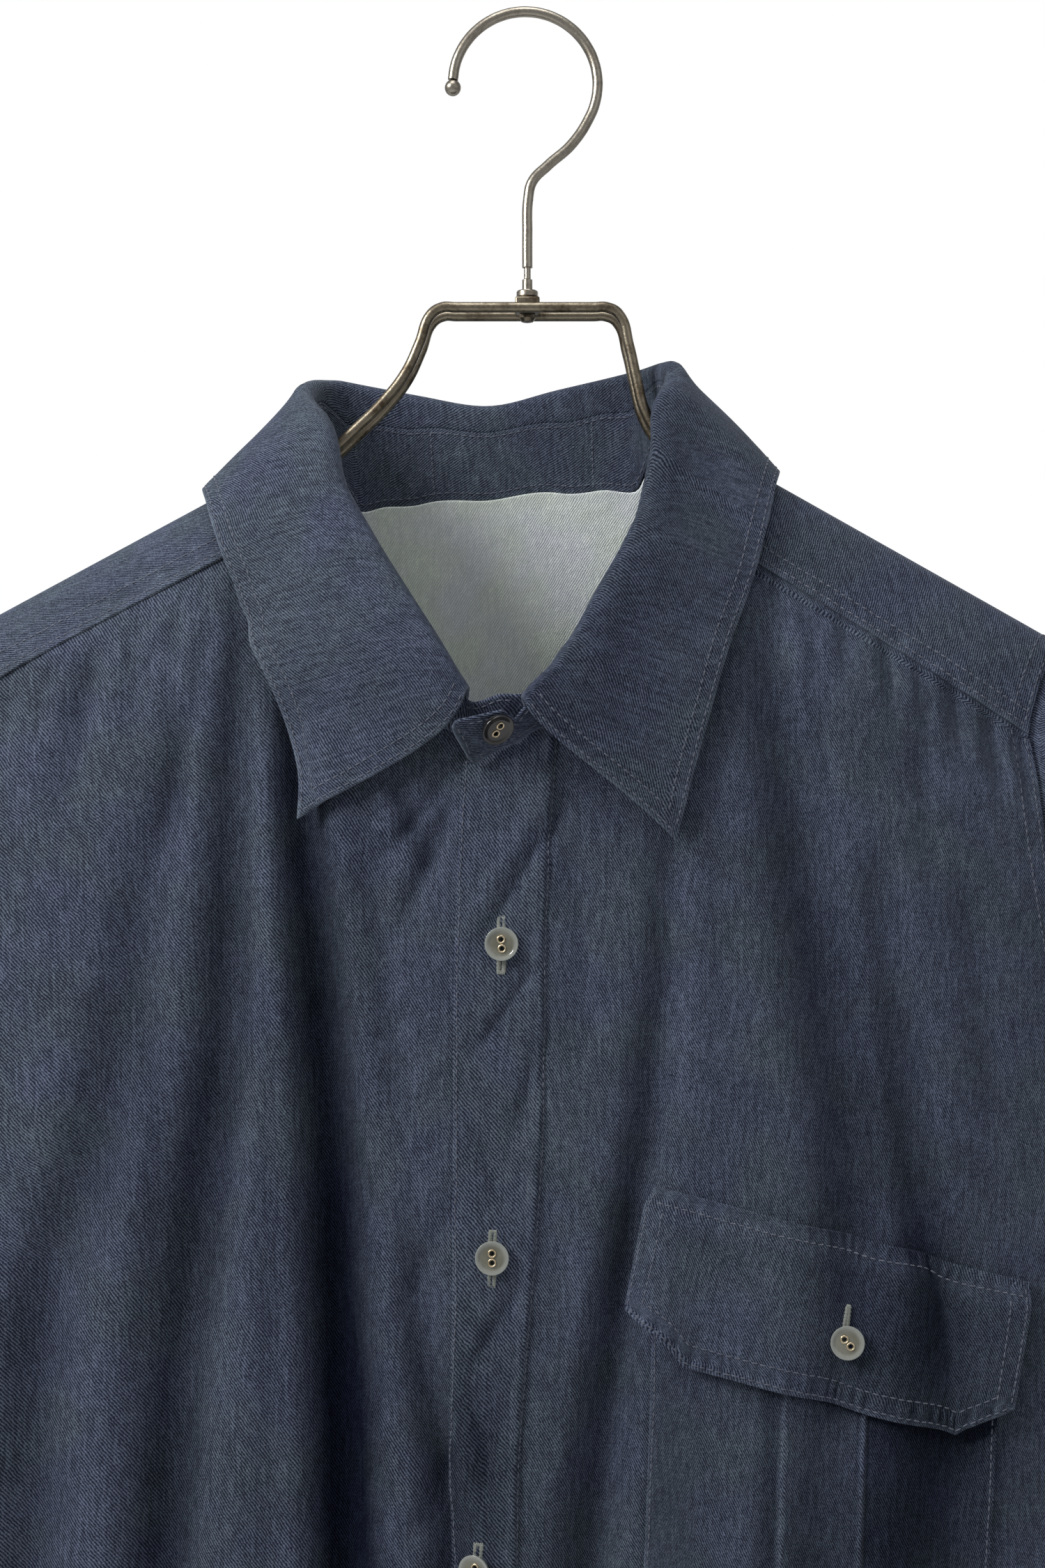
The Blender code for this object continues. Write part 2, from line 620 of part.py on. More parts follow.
def collar_frame(t):
    """Neckline point, roll point, direction up the stand and the direction away from the neck."""
    neck = neck_point(t)
    roll = Vector(collar_column(t, ("roll_x", "roll_y", "roll_z")))
    tangent = neck_point(min(t + 0.01, 1)) - neck_point(max(t - 0.01, 0))
    up = roll - neck
    away = tangent.cross(up).normalized()
    if away.dot(neck - Vector((NECK_MIDDLE_X, 0.0, neck.z))) < 0:
        away = -away
    return neck, roll, up, away


def cleared(point, clearance):
    """Moves a point out until it is this far from the body."""
    face = 1 if point.y < 0 else -1
    for _ in range(4):
        normal = outward(point, face)
        step = 0.0002
        ahead = point + normal * step
        rise = (level(*ahead, face) - level(*point, face)) / step
        distance = (level(*point, face) - 1) / max(rise, 1e-6)
        if distance >= clearance:
            break
        point = point + normal * (clearance - distance)
    return point


def neck_steps(fronts):
    """t from end to end of the collar, with this many steps on each front."""
    half = [NECK_STEPS[0] * index / fronts for index in range(fronts)] + NECK_STEPS
    return half + [0.5] + [1 - t for t in reversed(half)]


def collar_fall(cloth):
    rows = []
    steps = neck_steps(8)
    steps[0], steps[-1] = FALL_INSET, 1 - FALL_INSET
    for t in steps:
        foot, up, away, stand = stand_point(t)
        roll, radius = collar_frame(t)[1], collar_column(t, ("roll_radius",))[0]
        tall = (roll - foot).dot(up)
        base = foot + up * max(tall - radius, stand + FALL_GAP * 2.5)
        row = [foot + up * (stand + FALL_GAP), base]
        for angle in (50, 100):
            turn = math.radians(angle)
            row.append(base + away * radius * (1 - math.cos(turn)) + up * radius * math.sin(turn))
        turn = math.radians(150)
        start = base + away * radius * (1 - math.cos(turn)) + up * radius * math.sin(turn)
        edge = edge_point(0.5 + (t - 0.5) / (1 - 2 * FALL_INSET), COLLAR_LIFT)
        reach = (edge - start).length
        heading = away * math.sin(turn) + up * math.cos(turn)
        handle = start + heading * reach * 0.22
        bow = ease(1 - min(t, 1 - t) / 0.05) * LEAF_BOW[-1 if t < 0.5 else 1]
        approach = edge.lerp(start, 0.40) + Vector((0, -0.003 if edge.y < 0 else 0.003, 0))
        for step in range(1, LEAF_STEPS + 1):
            part = step / LEAF_STEPS
            point = (
                start * (1 - part) ** 3
                + handle * 3 * part * (1 - part) ** 2
                + approach * 3 * part * part * (1 - part)
                + edge * part**3
            )
            point.z -= bow * 4 * part * (1 - part)
            row.append(cleared(point, COLLAR_LIFT * ease(part / 0.45)) if part > 0.15 else point)
        rows.append(row)
    return offset_wall("collar_fall", rows, COLLAR_CLOTH, cloth)


def stand_point(t):
    """Foot of the stand, its direction up and its height; past t 0 and 1 the two ends overlap."""
    inside = min(max(t, 0.0), 1.0)
    neck, _, up, away = collar_frame(inside)
    up = up.normalized()
    stand = collar_column(inside, ("stand",))[0]
    under, over = max(-t, 0.0), max(t - 1, 0.0)
    neck = neck + Vector((0.200 * under - 0.190 * over, 0, -0.006 * under - 0.080 * over))
    neck.y += 0.0012 * ease((0.05 - t) / 0.05) - 0.0034 * ease((t - 0.91) / 0.08) - 0.0012 * ease(over / 0.06)
    stand += 0.0065 * ease(under / 0.05) + 0.0050 * ease(over / 0.02) + 0.045 * over
    rounded = ease((over - 0.080) / 0.030)  # the outer end is rounded
    neck.z += 0.0045 * rounded
    stand -= 0.0080 * rounded
    tangent = (neck_point(min(inside + 0.01, 1)) - neck_point(max(inside - 0.01, 0))).normalized()
    clear = (up - tangent * up.dot(tangent)).normalized()
    return neck + clear * NECK_GAP, up, away, stand


def collar_stand(cloth):
    rows = []
    ends = [-0.072, -0.048, -0.024], [1.025, 1.05, 1.075, 1.092, 1.11]
    for t in ends[0] + neck_steps(8) + ends[1]:
        foot, up, _, stand = stand_point(t)
        rows.append([foot + up * stand * part for part in (0, 0.5, 1)])
    return offset_wall("collar_stand", rows, COLLAR_CLOTH, cloth)


# ---------------------------------------------------------------- panels
def yoke_edge(t):
    """x and turn of the yoke's outer edge at t: an armhole, the back seam, the other armhole."""
    side = -1 if t < 0.5 else 1
    front_t, ridge_t, back_t = YOKE_T[side]
    if (t - back_t) * side <= 0:
        share = (t - YOKE_T[-1][2]) / (YOKE_T[1][2] - YOKE_T[-1][2])
        x = BACK_CORNERS[-1][0] + (BACK_CORNERS[1][0] - BACK_CORNERS[-1][0]) * share
        return x, turn_of(x, BACK_CORNERS[side][1], -1)
    if (t - ridge_t) * side < 0:
        return armhole_top(side, -1, (t - ridge_t) / (back_t - ridge_t))
    return armhole_top(side, 1, (t - ridge_t) / (front_t - ridge_t))


def armhole_top(side, face, share):
    """x and turn along the yoke's end, from the ridge (0) to its front or back corner (1)."""
    x, z = (FRONT_CORNERS if face > 0 else BACK_CORNERS)[side]
    tip = SHOULDERS[side].tip_x
    return tip + (x - tip) * share, turn_of(x, z, face) * share


def yoke(cloth):
    depth = 6
    outer, inner = [], []
    for t in neck_steps(1)[1:-1]:
        neck_x, neck_bend = neck_turn(t)
        edge_x, edge_bend = yoke_edge(t)
        outer.append([])
        inner.append([])
        for step in range(depth):
            part = step / (depth - 1)
            turn = neck_bend + (edge_bend - neck_bend) * part
            point = around(neck_x + (edge_x - neck_x) * part, turn)
            normal = outward(point, 1 if turn > 0 else -1)
            outer[-1].append(point)
            inner[-1].append(point - normal * CLOTH)
    return wall("yoke", outer, inner, cloth)


def placket_middle(z):
    left, right = along(PLACKET_EDGES, -z)
    return (left + right) / 2 + 0.002


def hem_z(x, face):
    """The shirt-tail hem: low at the centre, rising to the side seams."""
    share = min(abs(x - centre_x(-SHIRT_LENGTH_CENTRE)) / 0.251, 1)
    tail = 0 if face > 0 else BACK_TAIL
    return -SHIRT_LENGTH_CENTRE - tail + (SIDE_RISE + tail) * ease((share - 0.15) / 0.85)


def side_seam(side, top_drop, bottom_drop, count=9):
    points = []
    for index in range(count):
        z = -(top_drop + (bottom_drop - top_drop) * index / (count - 1))
        points.append((centre_x(z) + side * half_width(z, side), z))
    return points


def armhole(side, face):
    """The armhole's edge below the yoke, as x and z from the yoke's corner to the underarm."""
    corner = (FRONT_CORNERS if face > 0 else BACK_CORNERS)[side]
    rows = FRONT_ARMHOLE if face > 0 else BACK_ARMHOLE
    z = -UNDERARM_DROP
    under = (centre_x(z) + side * half_width(z, side), z)
    return [corner] + [(centre_x(-drop) + side * distance, -drop) for distance, drop in rows] + [under]


def panel_side(side, face):
    """A panel's outer edge from the yoke to the hem, as one point for each row of its grid."""
    hole = armhole(side, face)
    hole[0] = (hole[0][0], hole[0][1] - SEAM_GAP)
    bottom = -hem_z(centre_x(-0.9) + side * 0.251, 1)
    return hole + side_seam(side, UNDERARM_DROP, bottom)[1:]


def fold_line(rows):
    return lambda z: along(rows, -z)[0]


def edge_line(edge):
    rows = [(-z, x) for x, z in edge]
    return lambda z: along(rows, -z)[0]


def column_x(lines, counts, column, z):
    """x of a column at this height, between the two lines that it runs between."""
    for index, count in enumerate(counts):
        if column <= count:
            break
        column -= count
    low, high = lines[index](z), lines[index + 1](z)
    return low + (high - low) * column / count


def panel(lines, counts, tops, edges, face, spread):
    """A grid on the body whose columns follow the lines, with its inner side.

    `tops` is each column's top point and `edges` the side points, by column. `spread` says how much
    each column takes its rows' heights from the side's.
    """
    last = len(tops) - 1
    rows = len(edges[last])
    columns = []
    for column, (top_x, top_z) in enumerate(tops):
        if column in edges:
            columns.append(edges[column])
            continue
        side = edges[last] if face > 0 or column * 2 > last else edges[0]
        line = [(top_x, top_z)]
        start_x = column_x(lines, counts, column, top_z)
        end = hem_z(column_x(lines, counts, column, -SHIRT_LENGTH_CENTRE), face)
        for row in range(1, rows):
            along_side = (side[row][1] - side[0][1]) / (side[-1][1] - side[0][1])
            even = (row / (rows - 1)) ** 1.15
            share = even + (along_side - even) * spread(column / last)
            z = top_z + (end - top_z) * share
            x = column_x(lines, counts, column, z)
            line.append((x + (top_x - start_x) * (1 - share) ** 3, z))
        columns.append(line)
    outer, inner = [], []
    for row in range(rows):
        outer.append([])
        inner.append([])
        for column in range(last + 1):
            x, z = columns[column][row]
            point = on_body(x, z, face)
            normal = outward(point, face)
            point.y += -face * SEAM_GAP / 2
            outer[-1].append(point)
            inner[-1].append(point - normal * CLOTH)
    return outer, inner


def front(side, cloth):
    counts = FRONT_COLUMNS[side]
    gap = side * SEAM_GAP / 2
    edge = panel_side(side, 1)
    lines = [lambda z: placket_middle(z) + gap]
    lines += [fold_line(FRONT_FOLDS[name]) for name in FRONT_LINES[side]] + [edge_line(edge)]
    corner_t = YOKE_T[side][0]
    neck_end = 0 if side < 0 else 1
    tops = [(placket_middle(-0.2715) + gap, -0.2712)]
    for column in range(1, counts[0] + 1):
        t = neck_end + (corner_t - neck_end) * (column - 1) / (counts[0] - 1)
        point = neck_point(t)
        tops.append((point.x, point.z))
    start, end = tops[-1], FRONT_CORNERS[side]
    for column in range(counts[0], sum(counts) + 1):
        z = start[1]
        for _ in range(6):
            x = column_x(lines, counts, column, z)
            z = start[1] + (end[1] - start[1]) * (x - start[0]) / (end[0] - start[0])
        tops[column:] = [(x, z - SEAM_GAP)]
    middle = []
    for row in range(len(edge)):
        z = tops[0][1] + (-SHIRT_LENGTH_CENTRE - tops[0][1]) * (row / (len(edge) - 1)) ** 1.15
        middle.append((placket_middle(z) + gap, z))
    edges = {0: middle, sum(counts): edge}
    outer, inner = panel(lines, counts, tops, edges, 1, lambda share: share * share)
    return wall("front_left" if side > 0 else "front_right", outer, inner, cloth)


def back(cloth):
    first, last = panel_side(-1, -1), panel_side(1, -1)
    lines = [edge_line(first)] + [fold_line(BACK_FOLDS[name]) for name in BACK_LINES] + [edge_line(last)]
    top_z = first[0][1]
    tops = [(column_x(lines, BACK_COLUMNS, column, top_z), top_z) for column in range(sum(BACK_COLUMNS) + 1)]
    edges = {0: first, sum(BACK_COLUMNS): last}
    outer, inner = panel(lines, BACK_COLUMNS, tops, edges, -1, lambda share: abs(2 * share - 1) ** 3)
    return wall("back", outer, inner, cloth)


def placket(cloth):
    outer, inner = [], []
    rows = 18
    top, end = -0.2735, -SHIRT_LENGTH_CENTRE - 0.0004
    for row in range(rows):
        z = top + (end - top) * (row / (rows - 1)) ** 1.15
        left, right = along(PLACKET_EDGES, -z)
        outer.append([])
        inner.append([])
        for column in range(5):
            x = left + (right - left) * column / 4
            inner[-1].append(lifted(x, z, 1, LAYER_GAP))
            outer[-1].append(lifted(x, z, 1, LAYER_GAP + CLOTH))
    return wall("placket", outer, inner, cloth)


# ---------------------------------------------------------------- sleeves and cuffs
def armhole_loop(side):
    """Points round the armhole: from the shoulder ridge down the front, under the arm and up the back."""
    halves = {}
    for face in (1, -1):
        points = [around(*armhole_top(side, face, share)) for share in (0.0, 0.3, 0.65)]
        points += [on_body(x, z, face) for x, z in armhole(side, face)[:-1]]
        halves[face] = points
    x, z = armhole(side, 1)[-1]
    return halves[1] + [Vector((x, 0.0, z))] + halves[-1][:0:-1]


def sleeve(side, cloth):
    middle = centre_x(-0.30)
    loop = armhole_loop(side)
    count = len(loop)
    under = len(armhole(side, 1)) + 2
    angles = [math.pi * index / under for index in range(under)]
    angles += [math.pi + math.pi * index / (count - under) for index in range(count - under)]
    first = []
    for index, point in enumerate(loop):
        along_hole = loop[(index + 1) % count] - loop[index - 1]
        face = 1 if 0 < index < under else -1
        beside = along_hole.cross(outward(point, face)).normalized()
        hole = Vector(((loop[0].x + loop[under].x) / 2, 0, (loop[0].z + loop[under].z) / 2))
        beside = beside if beside.dot(hole - point) > 0 else -beside
        first.append(point + beside * ARMHOLE_GAP * (2 if index == under else 1))
    rings = [first]
    for number, ring in enumerate(SLEEVE_RINGS):
        outer = Vector((middle + side * ring.outer_x, 0.0, -ring.outer_drop))
        inner = Vector((middle + side * ring.inner_x, 0.0, -ring.inner_drop))
        centre, reach = (outer + inner) / 2, (outer - inner) / 2
        follow = max(1 - (number + 1) / 3.5, 0.0)
        grow = reach.length / ((loop[0] - loop[under]).length / 2)
        points = []
        for index, angle in enumerate(angles):
            oval_point = centre + reach * math.cos(angle) + Vector((0, -ring.half_depth * math.sin(angle), 0))
            drift = loop[index] - (loop[0] + loop[under]) / 2
            points.append(oval_point.lerp(centre + drift * grow, follow * 0.55))
        rings.append(points)
    return tube("sleeve_left" if side > 0 else "sleeve_right", rings, CLOTH, cloth)


def tube(name, rings, thickness, cloth):
    """An open tube through rings of points, its wall set inward from them."""
    inner = []
    count = len(rings[0])
    for number, ring in enumerate(rings):
        above, below = rings[max(number - 1, 0)], rings[min(number + 1, len(rings) - 1)]
        centre = sum(ring, Vector()) / count
        row = []
        for index, point in enumerate(ring):
            across = ring[(index + 1) % count] - ring[index - 1]
            normal = across.cross(below[index] - above[index]).normalized()
            if normal.dot(point - centre) < 0:
                normal = -normal
            row.append(point - normal * thickness)
        inner.append(row)
    return wall(name, rings, inner, cloth, closed=True)


def cuff(side, cloth):
    last = SLEEVE_RINGS[-1]
    middle = centre_x(-0.30) + side * (last.outer_x + last.inner_x) / 2
    rings = []
    sides = 16
    for step in range(3):
        part = step / 2
        half_x = (last.outer_x - last.inner_x) / 2 + 0.0006 - 0.001 * part
        half_y = last.half_depth + 0.0006 - 0.001 * part
        z = -(SLEEVE_END_DROP + SEAM_GAP + CUFF_HEIGHT * part)
        ring = []
        for index in range(sides):
            angle = math.tau * index / sides
            x = middle + side * half_x * math.cos(angle) + side * 0.003 * part
            ring.append(Vector((x, -half_y * math.sin(angle), z)))
        rings.append(ring)
    return tube("cuff_left" if side > 0 else "cuff_right", rings, COLLAR_CLOTH, cloth)


# ---------------------------------------------------------------- pocket
def pocket_place(across, down, below=False):
    """x and z of a point given by its distances in the pocket's slanted frame."""
    slant = POCKET_DOWN_BELOW if below else POCKET_DOWN
    x = POCKET_CORNER[0] + POCKET_ACROSS[0] * across + slant[0] * down
    return x, POCKET_CORNER[1] + POCKET_ACROSS[1] * across + slant[1] * down


def clipped(across, width, height, corner, rise):
    """Depth of a pocket edge with clipped corners."""
    return height - max(corner - across, across - (width - corner), 0.0) * rise / corner


def pocket_flap(cloth):
    outer, inner = [], []
    rows, columns = 6, 17
    for row in range(rows):
        part = row / (rows - 1)
        outer.append([])
        inner.append([])
        for column in range(columns):
            across = FLAP_WIDTH * column / (columns - 1)
            down = clipped(across, FLAP_WIDTH, FLAP_HEIGHT, FLAP_CORNER, FLAP_CORNER_RISE) * part
            x, z = pocket_place(across, down)
            lift = POCKET_GAP + FLAP_LIFT * ease(part / 0.20)
            inner[-1].append(lifted(x, z, 1, lift))
            outer[-1].append(lifted(x, z, 1, lift + CLOTH))
    return wall("pocket_flap", outer, inner, cloth)


def pocket(cloth):
    outer, inner = [], []
    rows = 8
    half_pleat = PLEAT_WIDTH / 2
    centre = POCKET_WIDTH / 2
    half_marks = [0, 0.009, 0.018, 0.027, 0.037, centre - half_pleat - 0.0005, centre - half_pleat + 0.0015]
    marks = half_marks + [centre] + [POCKET_WIDTH - mark for mark in reversed(half_marks)]
    for row in range(rows):
        part = row / (rows - 1)
        outer.append([])
        inner.append([])
        for across in marks:
            bottom = clipped(across, POCKET_WIDTH, POCKET_HEIGHT, POCKET_CLIP, POCKET_CLIP)
            down = POCKET_TOP + (bottom - POCKET_TOP) * part
            x, z = pocket_place(across + POCKET_INSET, down, below=True)
            rise = PLEAT_RISE if abs(across - centre) < half_pleat else 0.0
            inner[-1].append(lifted(x, z, 1, POCKET_GAP))
            outer[-1].append(lifted(x, z, 1, POCKET_GAP + CLOTH + rise))
    return wall("pocket", outer, inner, cloth)


# ---------------------------------------------------------------- buttons
def button(name, place, axis, shell):
    rim, thick = BUTTON_RADIUS, BUTTON_THICKNESS
    profile = [(0, 0), (rim * 0.86, 0), (rim, thick * 0.4), (rim * 0.90, thick), (rim * 0.62, thick * 0.70),
               (0, thick * 0.64)]
    return turned(name, profile, 10, shell, place, axis)


def front_button(name, x, z, lift, shell):
    point = on_body(x, z, 1)
    normal = outward(point, 1)
    return button(name, point + normal * lift, normal, shell)


def buttons(shell, dark_shell):
    on_strip = LAYER_GAP + CLOTH + 0.0006
    for number in range(FRONT_BUTTONS):
        drop = FIRST_BUTTON_DROP + BUTTON_SPACING * number
        x = straight(BUTTON_COLUMN, drop)[0]
        front_button(f"button_front_{number + 1}", x, -drop, on_strip, shell)
    x, z = pocket_place(*FLAP_BUTTON)
    front_button("button_flap", x, z, POCKET_GAP + FLAP_LIFT + CLOTH + 0.0024, shell)
    foot, up, away, stand = stand_point(1.041)
    place = foot + up * stand * 0.74 + away * (COLLAR_CLOTH / 2 + 0.0030)
    button("button_stand", place, away, dark_shell)
    last = SLEEVE_RINGS[-1]
    for side, name in ((-1, "button_cuff_right"), (1, "button_cuff_left")):
        angle = math.radians(-62)
        half_x = (last.outer_x - last.inner_x) / 2
        centre = centre_x(-0.30) + side * (last.outer_x + last.inner_x) / 2 + side * 0.0015
        direction = Vector((side * math.cos(angle) / half_x, -math.sin(angle) / last.half_depth, 0)).normalized()
        z = -(SLEEVE_END_DROP + CUFF_HEIGHT * 0.5)
        on_cuff = Vector((centre + side * half_x * math.cos(angle), -last.half_depth * math.sin(angle), z))
        button(name, on_cuff + direction * 0.0014, direction, shell)


# ---------------------------------------------------------------- hanger
def hanger_line():
    """The front wire's centre line in x and z, from the wearer's right to the left."""
    halves = {}
    for side, leg in HANGER_LEGS.items():
        points = list(leg)
        centre = centre_x(-0.2)
        start, end = abs(leg[-1][0] - centre) + 0.012, ARM_REACH
        for index in range(7):
            x = centre + side * (start + (end - start) * index / 6)
            points.append((x, ridge_z(x) - ARM_UNDER_RIDGE))
        halves[side] = points
    return halves[-1][::-1] + halves[1]


def hanger_frame(metal):
    line = by_length(hanger_line())
    count = 30
    shares = [index / (count - 1) for index in range(count)]
    run = [along(line, share) for share in shares]
    half = WIRE_SPACING / 2
    route, ups = [], []

    def normal_at(index):
        before, after = run[max(index - 1, 0)], run[min(index + 1, count - 1)]
        return Vector((-(after[1] - before[1]), 0, after[0] - before[0])).normalized()

    def turn_back(index, direction):
        up = normal_at(index)
        ahead = Vector((up.z, 0, -up.x)) * direction
        for step in range(1, 5):
            angle = math.pi * step / 5
            place = Vector((run[index][0], -half * direction * math.cos(angle), run[index][1]))
            route.append(place + ahead * half * math.sin(angle))
            ups.append(up)

    for index, (x, z) in enumerate(run):
        route.append(Vector((x, -half, z)))
        ups.append(normal_at(index))
    turn_back(count - 1, 1)
    for index in reversed(range(count)):
        route.append(Vector((run[index][0], half, run[index][1])))
        ups.append(normal_at(index))
    turn_back(0, -1)
    return swept("hanger_frame", route, [WIRE_RADIUS] * len(route), ups, 6, metal, loop=True)


def hanger_hook(metal):
    centre = Vector((HOOK_X, 0, WIRE_RADIUS - HOOK_RADIUS))
    route, radii = [], []
    for share, swell in ((-1.0, 0.20), (-0.75, 0.66), (-0.3, 0.96), (0.2, 0.96), (0.65, 0.76)):
        angle = math.pi + 0.05 - share * BALL_RADIUS / HOOK_RADIUS
        route.append(centre + Vector((math.cos(angle), 0, math.sin(angle))) * HOOK_RADIUS)
        radii.append(BALL_RADIUS * swell)
    for index in range(22):
        angle = math.pi - 0.06 - (math.pi + math.radians(22)) * index / 21
        route.append(centre + Vector((math.cos(angle), 0, math.sin(angle))) * HOOK_RADIUS)
        radii.append(WIRE_RADIUS)
    for x, z in HOOK_ROUTE:
        route.append(Vector((x, 0, z)))
        radii.append(WIRE_RADIUS)
    for drop, radius in ((STEM_END_DROP, WIRE_RADIUS), (STEM_END_DROP + 0.0004, PIN_RADIUS), (PIN_END_DROP, PIN_RADIUS)):
        route.append(Vector((0, 0, -drop)))
        radii.append(radius)
    ups = [Vector((0, 1, 0))] * len(route)
    return swept("hanger_hook", route, radii, ups, 8, metal)


def hanger_fittings(metal, dull):
    """The nut under the stem, the block between the two wires and the rivet's head below it."""
    turned("hanger_nut", NUT_PROFILE, 12, metal)
    wide, (top, bottom) = BLOCK_WIDTH / 2, BLOCK_HEIGHTS
    deep = WIRE_SPACING / 2 - WIRE_RADIUS - SEAM_GAP
    points = [Vector((x, y, z)) for z in (bottom, top) for x, y in
              ((-wide, -deep), (wide, -deep), (wide, deep), (-wide, deep))]
    faces = [(0, 2, 1), (0, 3, 2), (4, 5, 6), (4, 6, 7)]
    for a, b in ((0, 1), (1, 2), (2, 3), (3, 0)):
        faces.extend([(a, b, b + 4), (a, b + 4, a + 4)])
    finish("hanger_block", points, faces, dull)
    turned("hanger_rivet", RIVET_PROFILE, 12, dull)


# ---------------------------------------------------------------- the whole object
def build():
    for old in list(bpy.data.objects):
        bpy.data.objects.remove(old, do_unlink=True)
    indigo = material("indigo_twill", (0.050, 0.060, 0.092), 0.85)
    indigo_collar = material("indigo_twill_collar", (0.056, 0.066, 0.098), 0.85)
    shell = material("grey_shell", (0.30, 0.29, 0.23), 0.30)
    dark_shell = material("dark_shell", (0.020, 0.014, 0.010), 0.35)
    brass = material("aged_brass", (0.24, 0.19, 0.12), 0.38, 1.0)
    nickel = material("worn_nickel", (0.38, 0.36, 0.32), 0.34, 1.0)
    back(indigo)
    front(-1, indigo)
    front(1, indigo)
    placket(indigo)
    yoke(indigo)
    collar_stand(indigo_collar)
    collar_fall(indigo_collar)
    for side in (-1, 1):
        sleeve(side, indigo)
        cuff(side, indigo)
    pocket(indigo)
    pocket_flap(indigo)
    buttons(shell, dark_shell)
    hanger_frame(brass)
    hanger_hook(nickel)
    hanger_fittings(nickel, brass)


build()
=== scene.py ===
import math

import bpy
import numpy as np
from mathutils import Matrix, Vector


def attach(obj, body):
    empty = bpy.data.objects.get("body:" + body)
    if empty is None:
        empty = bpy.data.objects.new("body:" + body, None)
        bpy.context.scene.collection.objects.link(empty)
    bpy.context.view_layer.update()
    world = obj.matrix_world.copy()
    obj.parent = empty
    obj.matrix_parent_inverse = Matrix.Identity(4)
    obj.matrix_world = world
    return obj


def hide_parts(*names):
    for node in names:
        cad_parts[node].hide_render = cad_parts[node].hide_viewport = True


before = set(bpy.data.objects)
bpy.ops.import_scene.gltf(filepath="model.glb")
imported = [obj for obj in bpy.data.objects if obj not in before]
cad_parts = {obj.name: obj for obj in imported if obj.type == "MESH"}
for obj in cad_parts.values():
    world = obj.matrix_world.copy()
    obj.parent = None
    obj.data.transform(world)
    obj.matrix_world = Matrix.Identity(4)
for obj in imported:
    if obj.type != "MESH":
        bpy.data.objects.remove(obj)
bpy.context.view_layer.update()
print("loaded the frame")

# Metres, +Z up, -Y is the front. "Right" and "left" are the wearer's, so the wearer's left is +X.
# A face is 1 for the front and -1 for the back, and a side is 1 for the left and -1 for the right.
# Tables run from top to bottom, with the distance below the origin in their first column.
# What stands in metres() is written in millimetres.


def metres(value):  # from millimetres, through nested tables
    if isinstance(value, dict):
        return {key: metres(item) for key, item in value.items()}
    if isinstance(value, (list, tuple)):
        return type(value)(metres(item) for item in value)
    return round(value * 10) / 10000


# the body's form: shoulder lines as (neck x, neck z, tip x, tip z)
body = {
    "shoulders": metres({-1: (-80.5, -159.6, -217.5, -233.3), 1: (51.5, -150.3, 198.5, -232.9)}),
    "neckBlend": 0.026,
    "shoulderRounding": 0.004,
    "rounding": 2.5,
    "depths": metres([  # drop, centre x, depth in front, depth behind
        (120, -9.5, 22, 28), (160, -9.5, 26, 30), (200, -9.5, 31, 33), (250, -9.5, 37, 36),
        (300, -9.5, 40, 38), (380, -10, 43, 41), (460, -11, 46, 43), (560, -12.5, 48, 44), (700, -16, 47, 43),
        (950, -18, 43, 40),
    ]),
    "widths": metres([  # drop, half the body's width
        (120, 190), (200, 206), (240, 214), (300, 227), (380, 243), (456.5, 255.2), (560, 257), (700, 254),
        (950, 251),
    ]),
    "length": 0.925,
    "backTail": 0.012,
    "sideRise": 0.062,
    "underarm": 0.4565,
    "corners": metres({  # of the yoke at each armhole, by face and side
        1: {-1: (-198, -248.4), 1: (179.3, -263.7)},
        -1: {-1: (-205, -268), 1: (186, -268)},
    }),
    "armholes": metres({  # how far from the middle, and the drop
        1: [(192.5, 283.5), (198.5, 330), (208.5, 380), (223.5, 421), (234, 437.5), (243, 448.5)],
        -1: [(195.5, 300), (201, 350), (212, 400), (232, 437), (247, 452)],
    }),
    "hemHalf": 0.251,
    "ripple": 0.00035,
}

